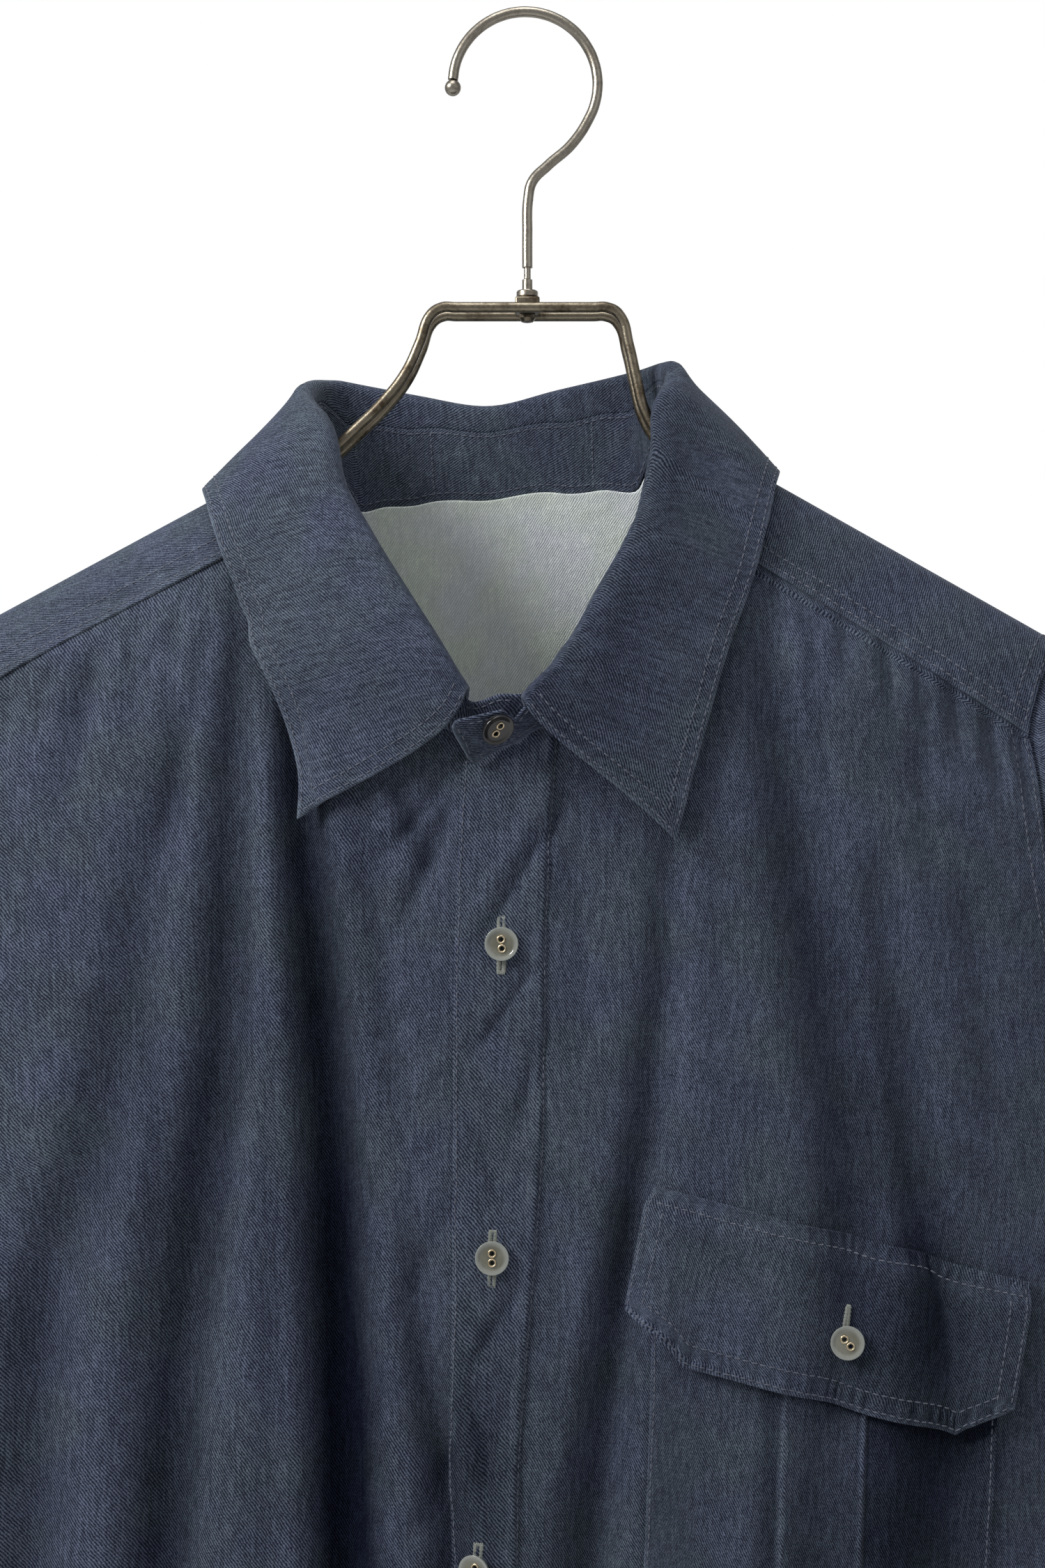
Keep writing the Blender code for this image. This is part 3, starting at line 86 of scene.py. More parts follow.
# the main folds: (drop, x, half width, depth)
folds = metres({
    "rightWide": [
        (206, -104, 4.5, 0), (245, -102.2, 6.5, 3.5), (279, -103, 9.5, 5.8), (326, -104.5, 11.2, 7.2),
        (371, -105.8, 12.4, 8.5), (415, -112.6, 13.4, 9.5), (475, -119.6, 14.2, 10.5),
        (549, -127.2, 14.6, 11), (700, -138, 16.5, 9.5), (950, -146, 20, 7),
    ],
    "rightDeep": [
        (187, -83, 7, 0), (235, -85, 7, 0), (267, -82.6, 8.6, 7), (298, -79.6, 9.8, 10),
        (338, -75.5, 10.8, 12), (400, -70.2, 11.6, 13), (475, -66.8, 12, 13.5), (549, -64.5, 12.2, 13.5),
        (700, -61, 13.5, 11.5), (950, -62, 16, 7),
    ],
    "rightSoft": [
        (262, -123, 10, 0), (308, -132.3, 12, 3.5), (363, -141.4, 13.5, 5), (415, -154.9, 14, 6.5),
        (460, -168.2, 14, 7.5), (505, -174.4, 14, 8), (560, -176, 15, 8), (700, -190, 18, 7),
        (950, -198, 20, 6),
    ],
    "besidePlacket": [
        (420, -40, 7, 0), (470, -37.2, 7.2, 4.5), (515, -30.5, 7.5, 6.5), (560, -26.2, 8, 7),
        (700, -36, 9, 6), (950, -44, 12, 4),
    ],
    "leftInner": [
        (188, 59, 7.5, 0), (210, 65, 7.5, 0), (240, 64, 7.5, 0), (286, 56, 7.5, 0), (308, 50.5, 7.8, 3),
        (350, 48.7, 8.2, 5), (375, 45, 8.3, 5.5), (400, 43, 8.4, 6), (434, 37, 8.4, 7), (471, 31.2, 9.2, 8.8),
        (522, 24.3, 10, 9.8), (560, 21.4, 10.4, 10), (700, 24, 12, 8), (950, 26, 14.5, 6),
    ],
    "leftWide": [
        (198, 82, 6, 0), (240, 86, 9, 4), (277, 92, 11.5, 6.2), (314, 98.5, 13.2, 7), (350, 105.5, 14, 7),
        (375, 110.4, 14.2, 7), (424, 115.2, 13.8, 6.2), (480, 108.5, 13.6, 4.8), (560, 101, 14, 5),
        (700, 105, 16.5, 6.5), (950, 112, 20, 6),
    ],
    "leftOuter": [
        (300, 122, 7.5, 0), (330, 124.5, 8.5, 3), (363, 129.7, 9.5, 5), (424, 136.2, 10.4, 6.2),
        (470, 144, 11.8, 5), (510, 146.5, 13, 4.2), (600, 150, 13, 5), (950, 164, 20, 6),
    ],
})
backFolds = metres({
    "rightPleat": [
        (270, -62, 6, 0), (300, -64, 8, 5), (450, -72, 12, 8), (700, -80, 16, 8), (950, -86, 20, 6),
    ],
    "leftPleat": [
        (270, 42, 6, 0), (300, 44, 8, 5), (450, 50, 12, 7.5), (700, 56, 16, 8), (950, 64, 20, 6),
    ],
    "rightSoft": [
        (330, -148, 12, 0), (450, -160, 15, 6), (700, -176, 18, 7), (950, -184, 20, 5),
    ],
    "leftSoft": [
        (310, 128, 12, 0), (450, 144, 15, 6), (700, 156, 18, 7), (950, 164, 20, 5),
    ],
})
# gathers under the yoke's front seams: x and drop at the top and bottom, half width, depth
gathers = metres([
    (112, 114, 221, 248, 3.5, 1.6), (127, 131, 230, 270, 3.8, 2.4), (151, 155, 246, 276, 3.8, 2.7),
    (164, 171, 256, 299, 4, 3.1), (175, 182, 263, 300, 3.6, 2.8), (88, 91, 208, 250, 3.4, 1.2),
    (139, 144, 238, 288, 3.2, 1.4), (-96, -97.5, 206, 252, 3, 1), (-124, -127, 216, 270, 3.2, 1.3),
    (-138, -143, 224, 262, 3, 1.1), (-153, -159, 233, 278, 3.6, 1.6), (-170, -176, 240, 274, 3.2, 1.2),
    (-183, -191, 246, 290, 3.8, 1.6),
])
# painted shade in each main fold, as how far the weave darkens: (drop, strength), its reach on the left and
# right, its sharpness
foldShades = {
    "rightWide": (
        [(0.22, 0.12), (0.30, 0.24), (0.40, 0.26), (0.48, 0.30), (0.56, 0.30), (0.95, 0.16)],
        0.80, 0.72, 4),
    "rightDeep": (
        [(0.25, 0.24), (0.29, 0.40), (0.36, 0.46), (0.46, 0.52), (0.56, 0.60), (0.95, 0.30)],
        0.90, 1.20, 2.6),
    "rightSoft": ([(0.28, 0.08), (0.38, 0.14), (0.46, 0.22), (0.56, 0.24), (0.95, 0.16)], 0.80, 1.00, 2),
    "besidePlacket": ([(0.44, 0.06), (0.50, 0.14), (0.56, 0.14), (0.95, 0.10)], 0.90, 1.10, 2),
    "leftInner": ([(0.31, 0.10), (0.38, 0.14), (0.46, 0.20), (0.56, 0.20), (0.95, 0.14)], 1.00, 1.00, 2),
    "leftWide": (
        [(0.24, 0.12), (0.29, 0.18), (0.38, 0.24), (0.44, 0.24), (0.48, 0.12), (0.95, 0.14)],
        1.20, 1.00, 2.6),
    "leftOuter": (
        [(0.31, 0.14), (0.36, 0.20), (0.42, 0.30), (0.455, 0.26), (0.50, 0.10), (0.56, 0.04), (0.95, 0.10)],
        1.20, 1.10, 2),
}
# other places of painted shade on the front: x, drop, half width, half height, strength
shadePlaces = [(*metres(place), strength) for *place, strength in [
    (129, 475, 20, 30, 0.22), (129, 548, 17, 40, 0.15), (105, 550, 24, 40, 0.12), (-16, 508, 15, 42, 0.20),
    (15, 545, 20, 40, 0.06), (48, 530, 15, 50, 0.10), (152, 505, 34, 55, 0.17), (36, 210, 16, 30, 0.20),
    (-93, 550, 6, 32, 0.14), (-146, 405, 12, 42, 0.10), (-102, 415, 9, 32, 0.06), (-110, 545, 15, 40, 0.08),
    (-20, 552, 10, 30, 0.12),
]]
# small creases that the cloth shows between its main folds: x and drop along each, half width and depth
creases = metres({
    1: [
        ([(11.3, 275.7), (-5, 305), (-22.2, 335.3)], 4.2, -1), ([(15, 285), (-1, 313), (-19, 343)], 4.2, 1.4),
        ([(4, 344), (-8, 362), (-20, 380)], 3.6, 1.3), ([(5, 370), (0, 390), (-7, 412)], 4.4, 1.2),
        ([(-21, 398), (-14, 418), (-10, 436)], 4, 1), ([(-3, 456), (-13, 474), (-22, 490)], 4, 1.2),
        ([(-24, 490), (-16, 512), (-14, 532)], 4.4, 1.2), ([(-29, 278), (-40, 296), (-56, 312)], 3.8, 1.8),
        ([(-27, 287), (-36, 312), (-48, 338)], 4.2, 2), ([(-48, 278), (-40, 300), (-30, 318)], 5, 2.2),
        ([(-60, 276), (-52, 350), (-42, 420)], 7, 1.8), ([(-25, 420), (-35, 448), (-48, 472)], 4.5, 1),
        ([(-25, 510), (-34, 532), (-45, 550)], 4.5, 1), ([(-130, 230), (-138, 250), (-140, 275)], 5, 1),
        ([(-156, 238), (-160, 260), (-168, 300)], 7, 1.6), ([(-112, 223), (-116, 242), (-118, 265)], 4, 0.9),
        ([(-95, 220), (-94, 242), (-93, 270)], 4, 1), ([(-138, 330), (-130, 420), (-142, 520)], 6, 1.2),
        ([(-93, 330), (-90, 420), (-88, 560)], 6, 1.4), ([(12, 286), (18, 330), (16, 390)], 6, 1.2),
        ([(65, 250), (66, 330), (70, 400)], 8, 0.7), ([(98, 215), (102, 250), (106, 290)], 4.5, 1.2),
        ([(135, 256), (140, 290), (143, 330)], 5.5, 1.2), ([(-123.5, 255), (-125, 285), (-131, 310)], 5.5, 2.2),
        ([(152, 310), (160, 360), (164, 410)], 7, 1.4), ([(8, 430), (12, 470), (6, 520)], 5, 0.8),
        ([(-205, 330), (-215, 390), (-230, 440)], 8, 2), ([(188, 330), (197, 390), (212, 440)], 8, 2),
        ([(-100, 620), (-104, 720), (-100, 880)], 10, 1.8), ([(60, 600), (68, 720), (66, 880)], 10, 1.8),
    ],
    -1: [
        ([(-170, 276), (-165, 320), (-156, 370)], 6, 1.4), ([(150, 276), (146, 320), (140, 370)], 6, 1.4),
        ([(-110, 274), (-112, 330), (-118, 440)], 7, 1.6), ([(95, 274), (98, 320), (100, 430)], 7, 1.6),
        ([(-15, 300), (-12, 420), (-20, 560)], 9, 1.8), ([(-205, 330), (-212, 390), (-225, 440)], 8, 2),
        ([(188, 330), (196, 390), (208, 440)], 8, 2), ([(-130, 560), (-134, 700), (-130, 860)], 10, 1.8),
        ([(110, 540), (112, 700), (108, 860)], 10, 1.8), ([(-15, 640), (-12, 760), (-18, 900)], 10, 1.6),
    ],
})


def along(rows, keys):  # smooth values from a table whose first column rises
    table = np.asarray(rows, float)
    knots, values = table[:, 0], table[:, 1:]
    keys = np.clip(np.asarray(keys, float), knots[0], knots[-1])
    slopes = np.empty_like(values)
    slopes[1:-1] = (values[2:] - values[:-2]) / (knots[2:] - knots[:-2])[:, None]
    slopes[0] = (values[1] - values[0]) / (knots[1] - knots[0])
    slopes[-1] = (values[-1] - values[-2]) / (knots[-1] - knots[-2])
    index = np.clip(np.searchsorted(knots, keys, side="right") - 1, 0, len(knots) - 2)
    span = (knots[index + 1] - knots[index])[..., None]
    part = (keys - knots[index])[..., None] / span
    rest = 1 - part
    return (values[index] * (1 + 2 * part) * rest ** 2 + values[index + 1] * part ** 2 * (3 - 2 * part)
            + slopes[index] * span * part * rest ** 2 - slopes[index + 1] * span * part ** 2 * rest)


def ease(value):
    value = np.clip(value, 0.0, 1.0)
    return value * value * (3 - 2 * value)


def unit(vectors):
    return vectors / np.maximum(np.linalg.norm(vectors, axis=-1, keepdims=True), 1e-12)


def points(x, y, z):
    return np.stack(np.broadcast_arrays(x, y, z), axis=-1).astype(float)


def bodyRow(z, column):
    table = np.array(body["depths"])
    return np.interp(-z, table[:, 0], table[:, column])


def centreX(z):
    return bodyRow(z, 1)


def halfWidth(z, side):
    low = along(body["widths"], -z)[..., 0]
    widths = {}
    for key, (neckX, neckZ, tipX, tipZ) in body["shoulders"].items():
        slope = (neckZ - tipZ) / abs(tipX - neckX)
        line = abs(neckX - centreX(neckZ)) + (neckZ - z) / slope
        soft = body["shoulderRounding"]
        widths[key] = np.maximum((line + low - np.hypot(line - low, soft)) / 2, soft)
    return np.where(np.asarray(side) < 0, widths[-1], widths[1])


def ridgeZ(x):
    lines, necks = [], []
    for side in (-1, 1):
        neckX, neckZ, tipX, tipZ = body["shoulders"][side]
        lines.append(neckZ + (tipZ - neckZ) / (tipX - neckX) * (x - neckX))
        necks.append(neckX)
    share = ease((x - necks[0] - body["neckBlend"]) / (necks[1] - necks[0] - 2 * body["neckBlend"]))
    return lines[0] * (1 - share) + lines[1] * share


def dent(distance, half, deep):
    ratio = (distance / half) ** 2
    return np.where(ratio < 12, deep * (1 - 0.45 * ratio) * np.exp(-0.8 * ratio), 0.0)


def creaseShift(x, z, face):  # small creases along short routes, faded at both ends, and a soft ripple
    shift = np.zeros_like(x)
    for route, half, deep in creases[face]:
        table = [(drop, routeX) for routeX, drop in route]
        top, end = table[0][0], table[-1][0]
        part = (-z - top) / (end - top)
        near = (part > -0.15) & (part < 1.15)
        if not near.any():
            continue
        fade = ease((part + 0.1) / 0.35) * ease((1.1 - part) / 0.45)
        shift += np.where(near, dent(x - along(table, -z)[..., 0], half, deep) * fade, 0)
    wave = np.sin(x * 61 + z * 13 + 1.1) * np.sin(z * 17 - x * 9 + face)
    wave = wave + 0.6 * np.sin(x * 143 - z * 31) * np.sin(z * 39 + 2)
    return shift + body["ripple"] * wave


def foldShift(x, z, face, fine=True):
    shift = np.zeros_like(x)
    for rows in (folds if face > 0 else backFolds).values():
        values = along(rows, -z)
        shift += np.where(-z > rows[0][0], dent(x - values[..., 0], values[..., 1], values[..., 2]), 0)
    if face > 0:
        for topX, endX, topDrop, endDrop, half, deep in gathers:
            part = (-z - topDrop) / (endDrop - topDrop)
            strength = ease((part + 0.1) / 0.3) * ease((1 - part) / 0.6)
            shift += dent(x - (topX + (endX - topX) * part), half, deep * strength)
    else:
        shift = -shift
    return shift + face * creaseShift(x, z, face) if fine else shift


def shadeAt(x, z, face):  # painted shade: how far the weave is darkened, by the shade tables on the front and by the folds' depth on the back, paler on the crests
    shade = np.zeros_like(x)
    for name, (strengths, left, right, sharp) in foldShades.items():
        values = along(folds[name], -z)
        away = (x - values[..., 0]) / values[..., 1]
        away = np.abs(away) / np.where(away > 0, right, left)
        strength = along(strengths, -z)[..., 0] * ease((-z - strengths[0][0] + 0.03) / 0.04)
        shade = np.maximum(shade, strength * np.exp(-np.minimum(away, 4) ** sharp))
    for middleX, drop, halfX, halfZ, strength in shadePlaces:
        shade = shade + strength * np.exp(-((x - middleX) / halfX) ** 2 - ((-z - drop) / halfZ) ** 2)
    return shade if face > 0 else np.clip(foldShift(x, z, face) / -0.016, -0.2, 0.35)


def bodyOval(x, z, face, fine=True):  # share of the half width from the middle, depth of the body and its folds
    ratio = np.abs(x - centreX(z)) / halfWidth(z, np.where(x > centreX(z), 1, -1))
    shift = foldShift(x, z, face, fine) * (1 - np.minimum(ratio, 1) ** 8)
    return ratio, bodyRow(z, 2 if face > 0 else 3), shift


def surfaceY(x, z, face, fine=True):
    ratio, deep, shift = bodyOval(x, z, face, fine)
    power = body["rounding"]
    return -face * deep * (1 - np.minimum(ratio, 1) ** power) ** (1 / power) + shift


def onBody(x, z, face, fine=True):
    return points(x, surfaceY(x, z, face, fine), z)


def bodyNormal(x, z, face):
    step = 0.0004
    slopeX = (surfaceY(x + step, z, face) - surfaceY(x - step, z, face)) / (2 * step)
    slopeZ = (surfaceY(x, z + step, face) - surfaceY(x, z - step, face)) / (2 * step)
    return unit(points(face * slopeX, -face, face * slopeZ))


def lifted(x, z, lift):  # a point over the front, moved out
    return onBody(x, z, 1) + bodyNormal(x, z, 1) * np.asarray(lift)[..., None]


def bodyLevel(place, face):  # above 1 outside the body
    x, y, z = np.moveaxis(place, -1, 0)
    ratio, deep, shift = bodyOval(x, z, face, False)
    power = body["rounding"]
    return (ratio ** power + (np.abs(y - shift) / deep) ** power) ** (1 / power)


levelStep = 0.0002  # between the two points that give the level's slope


def awayFromBody(place, face):
    sides = [bodyLevel(place + step, face) - bodyLevel(place - step, face) for step in np.eye(3) * levelStep]
    return unit(np.stack(sides, axis=-1))


def cleared(place, clearance):  # moves points out until they are this far from the body
    for _ in range(4):
        moved = []
        for face in (1, -1):
            away = awayFromBody(place, face)
            level = bodyLevel(place, face)
            rise = (bodyLevel(place + away * levelStep, face) - level) / levelStep
            distance = (level - 1) / np.maximum(rise, 1e-6)
            moved.append(place + away * np.maximum(clearance - distance, 0)[..., None])
        place = np.where((place[..., 1] < 0)[..., None], moved[0], moved[1])
    return place


def aroundShoulder(x, turn, fine=False):  # turn 0 is the ridge, above 0 in front and below 0 behind
    z = ridgeZ(x) - turn * turn
    y = np.where(turn > 0, surfaceY(x, z, 1, fine), surfaceY(x, z, -1, fine))
    return points(x, np.where(np.abs(turn) < 1e-9, 0.0, y), z)


def turnOf(x, z, face):
    return face * np.sqrt(np.maximum(ridgeZ(np.asarray(x, float)) - z, 0.0))


# lengths over a grid of points, and its edges
def lengthsAlong(grid, axis):
    steps = np.linalg.norm(np.diff(grid, axis=axis), axis=-1)
    return np.concatenate([np.zeros_like(np.take(steps, [0], axis)), np.cumsum(steps, axis=axis)], axis=axis)


def fromEdge(grid, edge):  # the grid's lines, counted from the edge named
    lines = grid if edge in ("top", "bottom") else np.swapaxes(grid, 0, 1)
    return lines[::-1] if edge in ("bottom", "right") else lines


def linked(name, data):
    made = bpy.data.objects.new(name, data)
    bpy.context.scene.collection.objects.link(made)
    return made


def newMesh(name, spots, faces, materials):
    mesh = bpy.data.meshes.new(name)
    mesh.from_pydata(spots.tolist(), [], faces)
    for material in materials:
        mesh.materials.append(material)
    mesh.polygons.foreach_set("use_smooth", np.ones(len(faces), dtype=bool))
    return mesh


# cloth as closed thin shells
def gridNormals(grid, closed=False):
    across = np.roll(grid, -1, 1) - np.roll(grid, 1, 1) if closed else np.gradient(grid, axis=1)
    return unit(np.cross(across, np.gradient(grid, axis=0)))


def facing(grid, hint, closed=False):  # the grid's normals, turned to the side that the hint names
    normals = gridNormals(grid, closed)
    return normals * (1 if np.sum(normals * hint) > 0 else -1)


def withBorders(channels, radius, closed):
    # adds lines close to the edges, and gives how full the cloth is at each, so that every edge is rounded
    full = np.ones(channels.shape[:2] + (1,))
    channels = np.concatenate([channels, full], axis=2)
    for axis in ((0,) if closed else (0, 1)):
        lines = np.moveaxis(channels, axis, 0)
        ends = []
        for edge, beside in ((lines[0], lines[1]), (lines[-1], lines[-2])):
            gap = np.maximum(np.linalg.norm(beside[..., :3] - edge[..., :3], axis=-1, keepdims=True), 1e-9)
            new = []
            for distance in (0.0, 0.10, 0.40, 1.0):  # in radii from the edge
                share = np.clip(distance * radius / gap, 0, 0.9)
                line = edge * (1 - share) + beside * share
                line[..., -1] = edge[..., -1] * max(math.sqrt(1 - (1 - distance) ** 2), 0.12)
                new.append(line)
            ends.append(new)
        lines = np.concatenate([np.array(ends[0]), lines[1:-1], np.array(ends[1][::-1])])
        channels = np.moveaxis(lines, 0, axis)
    return channels


def makeCloth(name, nodeName, middle, normals, thick, cut, wearAndShade, looks, closed=False):
    # middle is a grid of points, cut its flat places in metres, the mask of worn places and painted shade what
    # the weave reads, and looks the material of each side; gives the piece, with what the sewing needs
    channels = withBorders(np.concatenate([middle, normals, cut, wearAndShade[..., None]], axis=2), thick / 2, closed)
    half = channels[..., -1:] * thick / 2
    normal = unit(channels[..., 3:6])
    outer, inner = channels[..., :3] + normal * half, channels[..., :3] - normal * half
    rows, columns = outer.shape[:2]
    layer = rows * columns
    spots = np.concatenate([outer.reshape(-1, 3), inner.reshape(-1, 3)])
    index = np.arange(layer).reshape(rows, columns)
    after = np.roll(index, -1, 1) if closed else index[:, 1:]
    before = index if closed else index[:, :-1]
    front = np.stack([before[:-1], after[:-1], after[1:], before[1:]], axis=-1).reshape(-1, 4)
    quads = [front, front[:, ::-1] + layer]
    rims = [(before[0], after[0], 1), (before[-1], after[-1], -1)]
    if not closed:
        rims += [(index[:-1, 0], index[1:, 0], -1), (index[:-1, -1], index[1:, -1], 1)]
    for low, high, order in rims:
        quads.append(np.stack([low + layer, high + layer, high, low], axis=-1)[:, ::order])
    quads = np.concatenate(quads)
    corners = spots[quads]
    volume = sum(np.einsum("ij,ij->i", corners[:, 0], np.cross(corners[:, first], corners[:, first + 1]))
                 for first in (1, 2))
    if volume.sum() < 0:
        quads = quads[:, ::-1]
    mesh = newMesh(name, spots, quads.tolist(), looks)
    slots = np.zeros(len(quads), dtype=np.int32)
    slots[len(front):2 * len(front)] = 1
    mesh.polygons.foreach_set("material_index", slots)
    loops = np.empty(len(mesh.loops), dtype=np.int32)
    mesh.loops.foreach_get("vertex_index", loops)
    flat = np.tile(channels[..., 6:8].reshape(-1, 2), (2, 1))
    mesh.uv_layers.new(name="cut").data.foreach_set("uv", flat[loops].ravel())
    # the mask: worn and pale above 0.54, painted shade below 0.48
    wearAndShadeLayer = mesh.attributes.new("wearAndShade", "FLOAT", "POINT")
    wearAndShadeLayer.data.foreach_set("value", np.tile(channels[..., 8].ravel(), 2).astype(np.float32))
    mesh.update()
    piece = linked(name, mesh)
    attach(piece, "root")
    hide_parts(nodeName)
    return piece, middle, normals, thick


def panelPlaces(middle, lean):
    # level and upright lengths in the cut, counted from the first column; the weave leans towards the side
    steps = np.diff(middle[..., :2], axis=1)
    level = np.cumsum(np.linalg.norm(steps, axis=-1) * np.sign(steps[..., 0]), axis=1)
    start = middle[:, :1, 0]
    u = start + np.concatenate([np.zeros((len(middle), 1)), level], axis=1)
    return np.stack([u, middle[..., 2] + lean * (u - start) ** 2], axis=-1)


def flatPlaces(grid):  # lengths along the cloth, across and down, as the place in the cut
    across = lengthsAlong(grid, 1)
    return np.stack([across - across.mean(axis=1, keepdims=True), -lengthsAlong(grid, 0)], axis=-1)


def tubePlaces(grid, side):  # the same round a sleeve or cuff
    return np.stack([side * lengthsAlong(grid, 1), -lengthsAlong(grid, 0)], axis=-1)


# thread
def threadTemplate(sides=5):
    rings = [(-0.5, 0.30), (-0.30, 0.92), (0.30, 0.92), (0.5, 0.30)]  # place along the thread, radius
    spots = [(place, radius * math.cos(math.tau * side / sides), radius * math.sin(math.tau * side / sides))
             for place, radius in rings for side in range(sides)]
    faces = []
    for low in range(0, (len(rings) - 1) * sides, sides):
        for side in range(sides):
            after = (side + 1) % sides
            faces.append((low + side, low + after, low + sides + after, low + sides + side))
    last = (len(rings) - 1) * sides
    ends = [tuple(range(sides))[::-1], tuple(range(last, last + sides))]
    return np.array(spots), faces, ends


def resampled(route, step):  # even steps along a route of rows of values, the first three being its points
    length = lengthsAlong(route[:, :3], 0)
    count = max(int(round(length[-1] / step)), 1)
    marks = (np.arange(count) + 0.5) / count * length[-1]
    ahead = np.clip(marks + step * 0.3, 0, length[-1])
    behind = np.clip(marks - step * 0.3, 0, length[-1])

    def at(places):
        return np.stack([np.interp(places, length, column) for column in route.T], axis=1)

    return at(marks), unit(at(ahead)[:, :3] - at(behind)[:, :3])


def makeThread(name, stitches, thick, material):
    # stitches are rows of place, direction, normal and length
    spots, faces, ends = threadTemplate()
    stitches = np.asarray(stitches)
    place, ahead, up, long = stitches[:, 0:3], unit(stitches[:, 3:6]), stitches[:, 6:9], stitches[:, 9]
    up = unit(up - ahead * np.sum(ahead * up, axis=1, keepdims=True))
    beside = np.cross(up, ahead)
    wide = thick / 2
    run, left, high = (spots[None, :, axis:axis + 1] for axis in range(3))
    made = (place[:, None] + ahead[:, None] * (run * long[:, None, None])
            + beside[:, None] * left * wide * 1.1 + up[:, None] * high * wide * 0.8)
    made = made - up[:, None] * (np.abs(run) > 0.4) * wide * 0.8  # the ends go into the cloth
    base = np.arange(len(stitches)) * len(spots)
    quads = (np.array(faces)[None] + base[:, None, None]).reshape(-1, 4)
    caps = np.concatenate([(np.array(end)[None] + base[:, None]) for end in ends])
    mesh = newMesh(name, made.reshape(-1, 3), quads[:, ::-1].tolist() + caps[:, ::-1].tolist(), [material])
    mesh.update()
    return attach(linked(name, mesh), "root")


sewing = {"thick": 0.00052, "step": 0.0030, "labelStep": 0.0022, "share": 0.74, "lift": 0.0001,
          "wobble": 0.00012}


def seam(route, normals, step):
    # evenly sewn stitches along a route on the cloth's surface
    marks, ahead = resampled(np.concatenate([route, normals], axis=1), step)
    up = unit(marks[:, 3:6])
    wobble = np.sin(np.arange(len(marks)) * 12.9898) * sewing["wobble"]
    place = marks[:, :3] + up * sewing["lift"] + np.cross(up, ahead) * wobble[:, None]
    return np.concatenate([place, ahead, up, np.full((len(marks), 1), step * sewing["share"])], axis=1)


def edgeRoute(grid, normals, edge, distance, trim):
    # a route at this distance from one edge of a surface grid, left out near its two ends
    lines = fromEdge(grid, edge)
    reach = lengthsAlong(lines, 0)

    def at(values):
        return np.array([[np.interp(distance, reach[:, column], values[:, column, axis]) for axis in range(3)]
                         for column in range(values.shape[1])])

    route, up = at(lines), at(fromEdge(normals, edge))
    length = lengthsAlong(route, 0)
    keep = (length >= trim[0]) & (length <= length[-1] - trim[1])
    return route[keep], up[keep]


# materials
def setInputs(tree, made, inputs):
    for key, value in inputs.items():
        if isinstance(value, bpy.types.NodeSocket):
            tree.links.new(value, made.inputs[key])
        else:
            made.inputs[key].default_value = value
    return made


def node(tree, kind, inputs=None, **settings):
    made = tree.nodes.new(kind)
    made.location = (len(tree.nodes) * 170 - 1900, -(len(tree.nodes) * 113 % 640))
    for key, value in settings.items():
        setattr(made, key, value)
    return setInputs(tree, made, inputs or {})


def placed(tree, group, inputs):
    return node(tree, "ShaderNodeGroup", inputs, node_tree=group).outputs


def maths(tree, operation, *values):
    return node(tree, "ShaderNodeMath", dict(enumerate(values)), operation=operation).outputs[0]


def scaled(tree, value, factor, offset):
    return maths(tree, "MULTIPLY_ADD", value, factor, offset)


def blendColour(tree, factor, first, second, kind="MIX"):
    inputs = {0: factor, 6: first, 7: second}
    return node(tree, "ShaderNodeMix", inputs, data_type="RGBA", blend_type=kind).outputs[2]


def objectPlace(tree):
    return node(tree, "ShaderNodeTexCoord").outputs["Object"]


def noiseAt(tree, place, scale, detail, rough, distortion=0.0):
    inputs = {"Vector": place, "Scale": scale, "Detail": detail, "Roughness": rough, "Distortion": distortion}
    return node(tree, "ShaderNodeTexNoise", inputs).outputs[0]


def bumpOf(tree, strength, distance, height, **under):
    inputs = {"Strength": strength, "Distance": distance, "Height": height, **under}
    return node(tree, "ShaderNodeBump", inputs).outputs[0]


def attributeOf(tree, name):
    return node(tree, "ShaderNodeAttribute", attribute_name=name).outputs["Fac"]


def newGroup(name, inputs, outputs):
    group = bpy.data.node_groups.new(name, "ShaderNodeTree")
    for direction, sockets in (("INPUT", inputs), ("OUTPUT", outputs)):
        for socketName, kind in sockets.items():
            group.interface.new_socket(name=socketName, in_out=direction, socket_type="NodeSocket" + kind)
    return group, group.nodes.new("NodeGroupInput").outputs, group.nodes.new("NodeGroupOutput")


def twillGroup():
    # slanting ridges of the weave, uneven yarn along the cloth and pale flecks, in metres of the cut
    group, given, out = newGroup(
        "twill weave", {"Cut": "Vector", "Across": "Vector", "Ridge Spacing": "Float"},
        {"Ridge": "Float", "Yarn": "Float", "Fleck": "Float", "Height": "Float"})

    def noise(scale, detail, rough):
        inputs = {0: given["Cut"], 1: scale}
        place = node(group, "ShaderNodeVectorMath", inputs, operation="MULTIPLY").outputs[0]
        return noiseAt(group, place, 1.0, detail, rough)

    yarn = noise((850, 75, 1), 3.0, 0.62)
    fleck = noise((1250, 1500, 1), 2.0, 0.65)
    drift = noise((210, 260, 1), 2.0, 0.5)
    inputs = {0: given["Cut"], 1: given["Across"]}
    reach = node(group, "ShaderNodeVectorMath", inputs, operation="DOT_PRODUCT").outputs["Value"]
    turns = maths(group, "DIVIDE", reach, given["Ridge Spacing"])
    for value, weight in ((drift, 1.1), (fleck, 0.35)):
        turns = maths(group, "ADD", turns, maths(group, "MULTIPLY", value, weight))
    ridge = scaled(group, maths(group, "SINE", maths(group, "MULTIPLY", turns, math.tau)), 0.5, 0.5)
    height = maths(group, "MULTIPLY", ridge, scaled(group, fleck, 0.8, 0.4))
    setInputs(group, out, {"Ridge": ridge, "Yarn": yarn, "Fleck": fleck, "Height": height})
    return group


